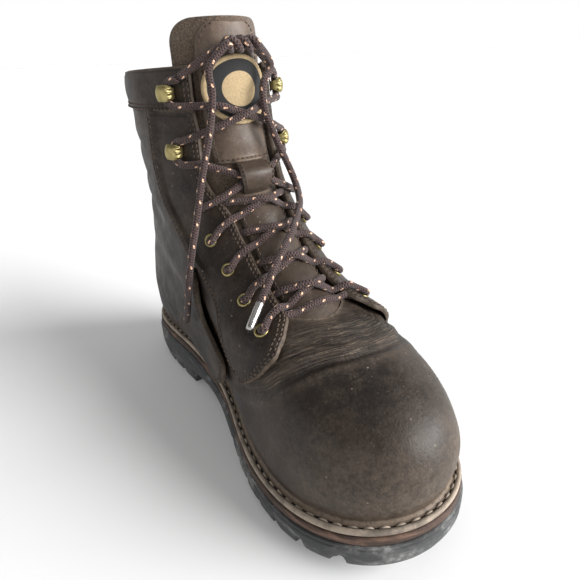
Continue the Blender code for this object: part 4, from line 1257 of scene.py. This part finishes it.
class BOOT_OT_panels(bpy.types.Operator):
    """Build the facings, the rear quarter, the cuff and their stitching"""

    bl_idname = "boot.panels"
    bl_label = "Panels"

    def execute(self, context):
        look = colours()
        thread = thread_material("panel_thread", look.thread)
        facing = leather("facing_leather", *leather_tones(), 1.0, 1.0)
        lines = []
        end, reach = FACING[0][0], 0.34
        rounded = end + reach * (1 - np.cos(np.linspace(0, math.pi / 2, 12)))
        levels = np.concatenate([rounded, np.linspace(end + reach, FACING_TOP, 140)[1:]])
        front, rear = table_at(FACING, levels)
        front, rear = round_end(levels, end, reach, front, rear)
        for name, side in SIDES.items():
            node = f"eyestay_{name}"
            wobble = 0.25 * np.sin(levels * 9 + side)
            _, sheet = panel(
                f"facing_{name}", levels, (front + wobble) * side, rear * side, 76, facing_lift, LAYER_TOP,
                facing, [node], grooves=ROWS,
            )
            for edge, inset in (("front", ROWS[0]), ("front", ROWS[1]), ("rear", ROWS[0]), ("rear", ROWS[1])):
                lines.append(seam_line(sheet, edge, inset, (1.0, 2.0)))
        self.make_quarter(lines)
        self.make_cuff(lines)
        pitch, radius = sizes().stitch_pitch / MM, sizes().stitch_radius / MM
        stitches(
            "panel_stitches", lines, pitch, pitch * 0.76, radius, thread, lift=0.0,
            slant=0.16,
        )
        return {"FINISHED"}

    def make_quarter(self, lines):
        levels = np.linspace(QUARTER[0][0], QUARTER_TOP, 160)
        front = table_at(QUARTER, levels)[0]
        front += (table_at(FACING, levels)[1] - 4 - front) * ease((levels - 5.75) / 0.45)
        material = leather("quarter_leather", *leather_tones(), 0.55, 1.1)
        _, sheet = panel(
            "quarter_panel", levels, front, 360 - front, 170, 0.1, LAYER_TOP - 0.25, material,
            ["quarter"], grooves=ROWS,
        )
        for edge, inset in (("front", ROWS[0]), ("front", ROWS[1]), ("rear", ROWS[0]), ("rear", ROWS[1])):
            line = seam_line(sheet, edge, inset, (3.0, 1.0))
            lines.append(line[line[:, 0] < 5.95])
        column = sheet["turns"].shape[1] // 2
        for offset in (-1.6, 1.6):
            turn = np.full(len(levels), 180.0 + offset * 2.1)
            lines.append(np.column_stack([levels, turn, sheet["top"][:, column]])[6:-3])

    def make_cuff(self, lines):
        levels = np.linspace(CUFF_FROM, CUFF_TO, 40)
        front = table_at(FACING, levels)[0]

        def padding(level, turn):
            share = np.clip((level - CUFF_FROM) / (CUFF_TO - CUFF_FROM), 0, 1)
            behind = ease((180 - np.abs(180 - turn) - 62) / 20)
            over = 1.35 * ease((CUFF_FROM + CUFF_LAP - level) / 0.12)
            return 0.85 + over + CUFF_PUFF * behind * np.sin(math.pi * share) ** 0.7

        material = leather("cuff_leather", *leather_tones(), 0.35, 0.8)
        piece, sheet = panel(
            "cuff_pad", levels, front, 360 - front, 190, padding, LAYER_TOP - 0.75, material,
            ["cuff"], grooves=(2.0,),
        )
        lines += [seam_line(sheet, "low", inset, (0.6, 0.6)) for inset in (1.5, 3.8)]
        lines += [seam_line(sheet, edge, inset, (4.5, 1.0)) for edge in ("front", "rear") for inset in ROWS]


def round_corners(level, end, reach, half, keep):
    """Half widths drawn in toward an end level along a quarter circle, down to a kept share."""
    share = np.clip(1 - (end - level) / reach, 0, 1)
    return half * (keep + (1 - keep) * np.sqrt(np.clip(1 - share**2, 0, 1)))


class BOOT_OT_tongue(bpy.types.Operator):
    """Build the woven tongue and the leather sewn to it"""

    bl_idname = "boot.tongue"
    bl_label = "Tongue"

    def execute(self, context):
        look = colours()
        cloth = woven("tongue_weave", look.cloth_brown, 0.0011, 0.5)
        worn = tuple(v * 1.7 for v in look.leather_mid)
        dry = leather("tongue_leather", look.leather_mid, worn, look.tongue_dust, 0.9, 0.9, 0.16)
        # The pad's leather is a lighter copy of the tongue's: painted light on the face that meets the lamps.
        pad_mid_painted_light = tuple(v * 2.0 for v in worn)
        pale = leather("tongue_pad_painted_light_leather", worn, pad_mid_painted_light, look.tongue_dust, 1.2, 0.9, 0.16)
        thread = thread_material("tongue_thread", look.thread)
        levels = self.rows_to(TONGUE, 110)
        half = round_corners(levels, levels[-1], 0.5, table_at(TONGUE, levels)[0], 0.55)

        def below(level, turn):
            return tongue_lift(level, turn) - TONGUE_LAYER

        panel("tongue_cloth", levels, -half, half, 70, below, TONGUE_LAYER, cloth, ["tongue"])

        def on_cloth(level, turn):
            return tongue_lift(level, turn) + CLOTH_SEAT

        def over_keeper(level, turn):
            return on_cloth(level, turn) + 2.0 * ease((8.56 - level) / 0.09) * ease((16 - np.abs(turn)) / 5)

        levels = self.rows_to(TONGUE_PAD, 90)
        half = round_corners(levels, levels[-1], 0.45, table_at(TONGUE_PAD, levels)[0], 0.45)
        half = round_corners(-levels, -levels[0], 0.07, half, 0.9)
        pad, sheet = panel(
            "tongue_top_pad", levels, -half, half, 60, over_keeper, PAD_LAYER, pale,
            ["tongue_pad"], PAD_PUFF, 1.6,
        )
        lines = [seam_line(sheet, "low", 3.0, (1.0, 1.0))]
        lines += [seam_line(sheet, edge, 3.0, (3.0, 3.0)) for edge in ("front", "rear")]
        levels = self.rows_to(TONGUE_STRIP, 110)
        half = round_corners(levels, levels[-1], 0.22, table_at(TONGUE_STRIP, levels)[0], 0.5)

        def bulging(level, turn):
            between = np.interp(level, (5.4, 6.1, 6.75, 7.35, 7.9), (0, 1, 2, 3, 4))
            return on_cloth(level, turn) + 0.45 * (1 - np.cos(2 * math.pi * between))

        _, sheet = panel(
            "tongue_lower_strip", levels, -half, half, 60, bulging, 1.5, dry,
            ["tongue_strip"], 0.9, 1.3,
        )
        lines += [seam_line(sheet, edge, 2.4, (4.0, 2.0)) for edge in ("front", "rear", "high")]
        self.make_keeper(dry, lines)
        pitch, radius = sizes().stitch_pitch / MM, sizes().stitch_radius / MM
        stitches(
            "tongue_stitches", lines, pitch, pitch * 0.72, radius * 0.9, thread, lift=0.5
        )
        self.make_disc(look)
        return {"FINISHED"}

    @staticmethod
    def rows_to(table, count):
        """Levels from a table's first to its last, drawn together at both ends."""
        low, high = table[0][0], table[-1][0]
        share = np.linspace(0, 1, count)
        return low + (high - low) * (0.75 * (1 - np.cos(share * math.pi)) / 2 + 0.25 * share)

    def make_keeper(self, leather_material, lines):
        levels = np.linspace(KEEPER_FROM, KEEPER_TO, 46)
        half = np.full(len(levels), KEEPER_HALF)

        def arch(level, turn):
            share = np.clip((level - KEEPER_FROM) / (KEEPER_TO - KEEPER_FROM), 0, 1)
            return tongue_lift(level, turn) + 0.2 + KEEPER_RISE * np.sin(math.pi * share) ** 0.6

        _, sheet = panel(
            "lace_keeper", levels, -half, half, 26, arch, 1.8, leather_material, ["keeper"]
        )
        lines += [seam_line(sheet, edge, 1.8, (2.0, 2.0)) for edge in ("front", "rear")]

    def make_disc(self, look):
        """Round bare disc with a sewn border, on the tongue's pad."""
        angles = np.linspace(0, 2 * math.pi, 97)[:-1]
        per_level = float(ring(PATCH_LEVEL + 0.5)["front_z"] - ring(PATCH_LEVEL - 0.5)["front_z"])
        width = float(ring(PATCH_LEVEL)["toe"])
        profile = [(r, 1.2) for r in np.linspace(0.02, 0.84, 22)]
        profile += [(0.86, 1.45), (0.89, 1.85), (0.93, 2.0), (0.97, 1.8), (0.995, 1.2), (1.0, 0.3)]
        profile += [(0.9, -0.3), (0.02, -0.3)]
        rings, radii = [], []
        for radius, height in profile:
            level = PATCH_LEVEL + np.sin(angles) * radius * PATCH_RADIUS / per_level
            turn = np.degrees(np.arcsin(np.cos(angles) * radius * PATCH_RADIUS / width))
            lift = tongue_lift(level, turn) + CLOTH_SEAT + PAD_LAYER + PAD_PUFF + 0.3
            ribs = 0.12 * np.cos(angles * 96 / 2) if 0.86 <= radius <= 1.0 else 0.0
            rings.append(raised(level, turn, lift + height + ribs))
            radii.append(np.full(len(angles), radius))
        points = np.concatenate(rings)
        faces = grid_faces(len(rings), len(angles), True).reshape(-1, 4)[:, ::-1].tolist()
        around = len(angles)
        faces += [tuple(range(around)), tuple(range((len(rings) - 1) * around, len(rings) * around))[::-1]]
        n = Nodes("disc_cloth")
        radius = n.field("radius")
        slope = n.math("ADD", n.axis("X"), n.axis("Z"))
        stitch = n.math("SINE", n.math("MULTIPLY", slope, 2 * math.pi / 0.0007))
        border = n.span(radius, 0.845, 0.865)
        inner = n.span(radius, 0.50, 0.48)
        pale = n.math("MAXIMUM", border, inner)
        grime = tuple(v * 0.4 for v in look.disc_pale)
        tone = n.mix(n.span(n.noise(900, 3.0), 0.4, 0.75, 0.0, 0.45), tuple(look.disc_pale), grime)
        base = n.mix(pale, tuple(look.disc_dark), tone)
        material = n.finish(base, 0.8, n.bump(stitch, 0.0002), sheen_weight=0.1)
        fields = {"radius": np.concatenate(radii)}
        make_piece("tongue_disc", points, faces, material, ["patch"], fields)


def holder_frame(level, turn):
    """The foot of a lace holder on the facing, and its axes: toward the throat, up the facing, outward."""
    foot = raised(level, turn, facing_lift(level, turn) + LAYER_TOP)
    up_axis = outward(level, math.radians(turn))
    side = 1 if turn > 0 else -1
    toward = level_turn_lift(level, turn - side, 0.0) - level_turn_lift(level, turn + side, 0.0)
    toward -= up_axis * (toward @ up_axis)
    toward /= np.linalg.norm(toward)
    along = np.cross(toward, up_axis) * side
    return foot, toward, along, up_axis


class BOOT_OT_holders(bpy.types.Operator):
    """Build the brass eyelets and the lace hooks"""

    bl_idname = "boot.holders"
    bl_label = "Eyelets and hooks"

    RING_PROFILE = (
        (2.55, -2.0), (2.55, 0.5), (2.7, 0.95), (3.05, 1.25), (3.5, 1.3), (3.95, 1.1),
        (4.25, 0.7), (4.35, 0.2), (4.2, -0.1), (3.2, -0.1), (3.2, -2.0),
    )
    # Bend of a hook: reach, rise, half width, as shares of its sizes
    HOOK_BEND = (
        (-0.9, 0.03, 0.5),
        (-0.45, 0.04, 0.8),
        (0.2, 0.04, 0.8),
        (0.75, 0.06, 0.62),
        (1.02, 0.28, 0.6),
        (1.08, 0.58, 0.72),
        (0.95, 0.86, 0.9),
        (0.5, 1.03, 1.0),
        (-0.15, 1.08, 1.0),
        (-0.75, 1.0, 0.95),
        (-1.08, 0.82, 0.7),
    )

    def execute(self, context):
        brass = metal("antique_brass", colours().brass, 0.36, 0.6)
        angle = np.linspace(0, 2 * math.pi, 37)[:-1]
        for name, side in SIDES.items():
            for i, (level, turn) in enumerate(EYELETS):
                foot, toward, along, up_axis = holder_frame(level, turn * side)
                spoke = np.outer(np.cos(angle), toward) + np.outer(np.sin(angle), along)
                rings = [foot + spoke * r + up_axis * h for r, h in self.RING_PROFILE]
                points, faces = loop_stack(rings)
                faces = faces if side > 0 else faces[:, ::-1]
                node = f"{name}_{i + 1}"
                make_piece(f"eyelet_ring_{node}", points, faces, brass, [f"eyelet_{node}"])
            for i, (level, turn) in enumerate(HOOKS):
                self.make_hook(f"hook_{name}_{i + 1}", holder_frame(level, turn * side), side, brass)
        return {"FINISHED"}

    def make_hook(self, node, axes, side, brass):
        """A bent strip: foot plate, ribbed neck and domed cap that opens away from the throat."""
        foot, toward, along, up_axis = axes
        bend = spline(self.HOOK_BEND, np.linspace(0, len(self.HOOK_BEND) - 1, 61))
        line = bend[:, :2] * (HOOK_REACH, HOOK_RISE)
        across = np.linspace(-1, 1, 31)
        high = ease((bend[:, 1] - 0.45) / 0.4)[:, None]
        neck = np.exp(-(((bend[:, 0] - 1.0) / 0.28) ** 2))[:, None] * high
        rib = 0.5 * neck * np.clip(np.cos(across * 3 * math.pi), -0.5, 1)[None]
        dome = -1.5 * high * np.abs(across[None]) ** 2.4
        run = np.gradient(line, axis=0)
        run /= np.linalg.norm(run, axis=1, keepdims=True)
        normal = np.column_stack([run[:, 1], -run[:, 0]])
        width = bend[:, 2:] * HOOK_WIDTH * across
        sheets = []
        for depth in (0.0, -0.8):
            reach = line[:, :1] + normal[:, :1] * (rib + depth)
            rise = line[:, 1:] + normal[:, 1:] * (rib + depth) + dome
            ahead = foot + reach[..., None] * toward
            sheets.append(ahead + rise[..., None] * up_axis + width[..., None] * along)
        quads = grid_faces(len(bend), len(across))
        faces = closed_sheet(quads, bend.shape[0] * len(across))
        faces = faces if side > 0 else faces[:, ::-1]
        points = np.concatenate([sheet.reshape(-1, 3) for sheet in sheets])
        make_piece(node + "_cap", points, faces, brass, [node])


def on_front(place):
    """The level and turn on the instep and shaft front nearest a place, square to the front's slope."""
    x, y, z = place
    levels = np.linspace(4, 10.9, 700)
    turn = np.arcsin(np.clip(x / ring(levels)["toe"], -0.98, 0.98))
    for _ in range(3):
        turn = turn + (x - surface(levels, turn)[:, 0]) / ring(levels)["toe"]
    points = surface(levels, turn)
    slope = math.radians(45)
    for _ in range(4):
        c, s = math.cos(slope), math.sin(slope)
        level = float(np.interp(y * c + z * s, points[:, 1] * c + points[:, 2] * s, levels))
        low, high = ring(level - 0.2), ring(level + 0.2)
        slope = math.atan2(high["front_z"] - low["front_z"], high["front_y"] - low["front_y"])
    return level, float(np.degrees(np.interp(level, levels, turn)))


def hook_stops(level, turn):
    """Places of the lace round a hook's neck, from its lower to its upper side."""
    foot, toward, along, up_axis = holder_frame(level, turn)
    steps = ((7.5, -7.2), (3.2, -6.4), (-0.9, -2.8), (-0.9, 2.8), (3.2, 6.4), (7.5, 7.2))
    return [foot + toward * a + along * b + up_axis * HOOK_SEAT for a, b in steps]


class BOOT_OT_lace(bpy.types.Operator):
    """Run the braided lace through eyelets and hooks, with its half knot, ends and tip"""

    bl_idname = "boot.lace"
    bl_label = "Lace"

    UNDER = -2.6
    OVER_FACING = LAYER_TOP + 2.4
    SHARES = (0.10, 0.19, 0.28, 0.37, 0.46, 0.54, 0.63, 0.72, 0.81, 0.90)

    def execute(self, context):
        braid = lace_braid()
        radius = sizes().lace_diameter / MM / 2
        halves = [tube(smooth_route(self.half_route(side), 1.3), radius, 14) for side in (-1, 1)]
        points, faces, fields = joined(halves)
        make_piece("lace_laced", points, faces, braid, ["lace_crossings"], fields)
        tip_metal = metal("tip_metal", colours().steel, 0.24, 0.25)
        for name, side, table in (("medial", 1, MEDIAL_END), ("lateral", -1, LATERAL_END)):
            coarse = self.end_route(side, table)
            route = smooth_route(coarse, 1.3)
            points, faces, fields = tube(route, radius, 14)
            node = f"lace_end_{name}"
            end = make_piece(f"lace_free_{name}", points, faces, braid, [node], fields)
            if name == "lateral":
                self.make_tip(coarse, tip_metal)
        return {"FINISHED"}

    def make_tip(self, coarse, material):
        way = coarse[-1] - coarse[-2]
        way /= np.linalg.norm(way)
        start = coarse[-1] - way * 1.0
        reach = np.array([0, 0.3, 1.0, 3.0, 6.0, 9.0, 12.0, 15.0, TIP_LENGTH - 0.4, TIP_LENGTH])
        size = np.array([0.85, 0.98, 1.0, 0.97, 1.0, 0.97, 0.96, 0.92, 0.8, 0.55])
        across = np.cross(way, (0.3, 0.5, 0.8))
        across /= np.linalg.norm(across)
        angle = np.linspace(0, 2 * math.pi, 25)[:-1]
        spoke = np.outer(np.cos(angle), across) + np.outer(np.sin(angle), np.cross(way, across))
        rings = [start + way * r + spoke * TIP_RADIUS * s for r, s in zip(reach, size)]
        faces = grid_faces(len(rings), len(angle), True).reshape(-1, 4).tolist()
        count = len(angle)
        faces += [tuple(range(count))[::-1], tuple(range((len(rings) - 1) * count, len(rings) * count))]
        return make_piece("lace_metal_tip", np.concatenate(rings), faces, material, ["lace_tip"])

    def crossing(self, start, finish, side, above):
        """Places from over one facing, across the tongue and under the other facing."""
        found = []
        for share in self.SHARES:
            level, turn = on_front(start + (finish - start) * share)
            edge = float(throat(level))
            rest = float(tongue_lift(level, turn)) + 1.65 + 2.3
            bump = 4.0 * math.exp(-((turn / 9.0) ** 2)) if above else 0.0
            if level < THROAT_LEVEL + 0.1:
                edge = float(table_at(FACING, level)[0])
                rest = 2.5
            if turn * side > edge - 1:
                lift = self.OVER_FACING + float(facing_lift(level, turn)) - 0.1
            elif -turn * side > edge - 2 and level > THROAT_LEVEL + 0.1:
                lift = self.UNDER
            else:
                lift = rest + bump
            found.append(level_turn_lift(level, turn, lift))
        return found

    def through(self, level, turn):
        """Places up through an eyelet or a plain hole and onto the facing."""
        foot, toward, _, up_axis = holder_frame(level, turn)
        steps = ((-5.0, 0.0), (-1.5, 0.0), (1.6, 0.4), (3.2, 3.0))
        return [foot + up_axis * rise + toward * ahead for rise, ahead in steps]

    def half_route(self, side):
        """Half of the lace up to its last hook. The medial half takes in the bottom bar."""
        holes = EYELETS + ANKLE_HOLE
        ground = [level_turn_lift(level, turn, 0.0) for level, turn in holes + HOOKS]
        mirror = np.array((-1.0, 1, 1))
        route = []
        if side < 0:
            bar = self.crossing(ground[0], ground[0] * mirror, 0, False)
            foot = holder_frame(holes[0][0], holes[0][1])
            route = [foot[0] - foot[3] * 4.6] + bar[1:-1]
        here = side
        for i, (level, turn) in enumerate(holes):
            route += self.through(level, turn * here)
            flip = np.array((float(here), 1, 1))
            ahead = ground[i + 1] * (-here, 1, 1)
            above = (i % 2 == 0) == (side > 0)
            if i + 1 < len(holes):
                route += self.crossing(ground[i] * flip, ahead, here, above)
            else:
                for at, way, upper, lower in KEEPER_PASS:
                    route.append(level_turn_lift(at, way * here, upper if above else lower))
            here = -here
        for i, (level, turn) in enumerate(HOOKS):
            stops = hook_stops(level, turn * here)
            route += stops
            if i + 1 < len(HOOKS):
                flip = np.array((float(here), 1, 1))
                start, finish = ground[len(holes) + i] * flip, ground[len(holes) + i + 1] * (-here, 1, 1)
                for share in (0.3, 0.4, 0.5, 0.6, 0.7):
                    at, way = on_front(start + (finish - start) * share)
                    bump = 3.9 * math.exp(-((way / 9.0) ** 2)) if side > 0 else 0.0
                    route.append(level_turn_lift(at, way, 7.4 + bump))
            here = -here
        to_knot = level_turn_lift(KNOT_LEVEL, 0.0, KNOT_LIFT) - route[-1]
        route.append(route[-1] + 0.06 * to_knot + outward(KNOT_LEVEL, 0.0))
        return np.array(route)

    def end_route(self, side, table):
        """A free end: from the last hook on one side, through the half knot, and down the other side."""
        middle = level_turn_lift(KNOT_LEVEL, 0.0, KNOT_LIFT)
        out = outward(KNOT_LEVEL, 0.0)
        up_axis = np.cross((1.0, 0, 0), out)
        hook = hook_stops(*HOOKS[-1])[-1] * (side, 1, 1)
        share = np.linspace(-1, 1, 13)[:, None]
        angle = math.pi * (KNOT_TURNS * side * share + (1 if side > 0 else 2))
        twist = middle - side * share * KNOT_HALF * np.array((1.0, 0, 0))
        twist = twist + KNOT_RADIUS * (np.sin(angle) * out + np.cos(angle) * up_axis)
        toward = np.array([[0.05], [0.5], [0.8]])
        lead = hook + (twist[0] - hook) * toward + out * np.array([[1.0], [1.5], [0.5]])
        rows = np.array(table)
        free = level_turn_lift(rows[:, 0], rows[:, 1], rows[:, 2])
        return np.concatenate([lead, twist, smooth_route(free, 13.0)])


class BOOT_PT_panel(bpy.types.Panel):
    """Steps that build the boot"""

    bl_idname = "BOOT_PT_panel"
    bl_label = "Worn boot"
    bl_space_type = "VIEW_3D"
    bl_region_type = "UI"
    bl_category = "Boot"

    def draw(self, context):
        for step in STEPS:
            self.layout.operator(step.bl_idname)
        for group in (context.scene.boot_sizes, context.scene.boot_colours):
            for key in group.__annotations__:
                self.layout.prop(group, key)


STEPS = (
    BOOT_OT_stage,
    BOOT_OT_sole,
    BOOT_OT_upper,
    BOOT_OT_panels,
    BOOT_OT_tongue,
    BOOT_OT_holders,
    BOOT_OT_lace,
)
CLASSES = (BootSizes, BootColours) + STEPS + (BOOT_PT_panel,)


def register():
    for item in CLASSES:
        bpy.utils.register_class(item)
    bpy.types.Scene.boot_sizes = bpy.props.PointerProperty(type=BootSizes)
    bpy.types.Scene.boot_colours = bpy.props.PointerProperty(type=BootColours)


def unregister():
    del bpy.types.Scene.boot_colours
    del bpy.types.Scene.boot_sizes
    for item in reversed(CLASSES):
        bpy.utils.unregister_class(item)


def main():
    register()
    bpy.ops.boot.stage()
    bpy.ops.boot.sole()
    bpy.ops.boot.upper()
    bpy.ops.boot.panels()
    bpy.ops.boot.tongue()
    bpy.ops.boot.holders()
    bpy.ops.boot.lace()


if __name__ == "__main__":
    main()
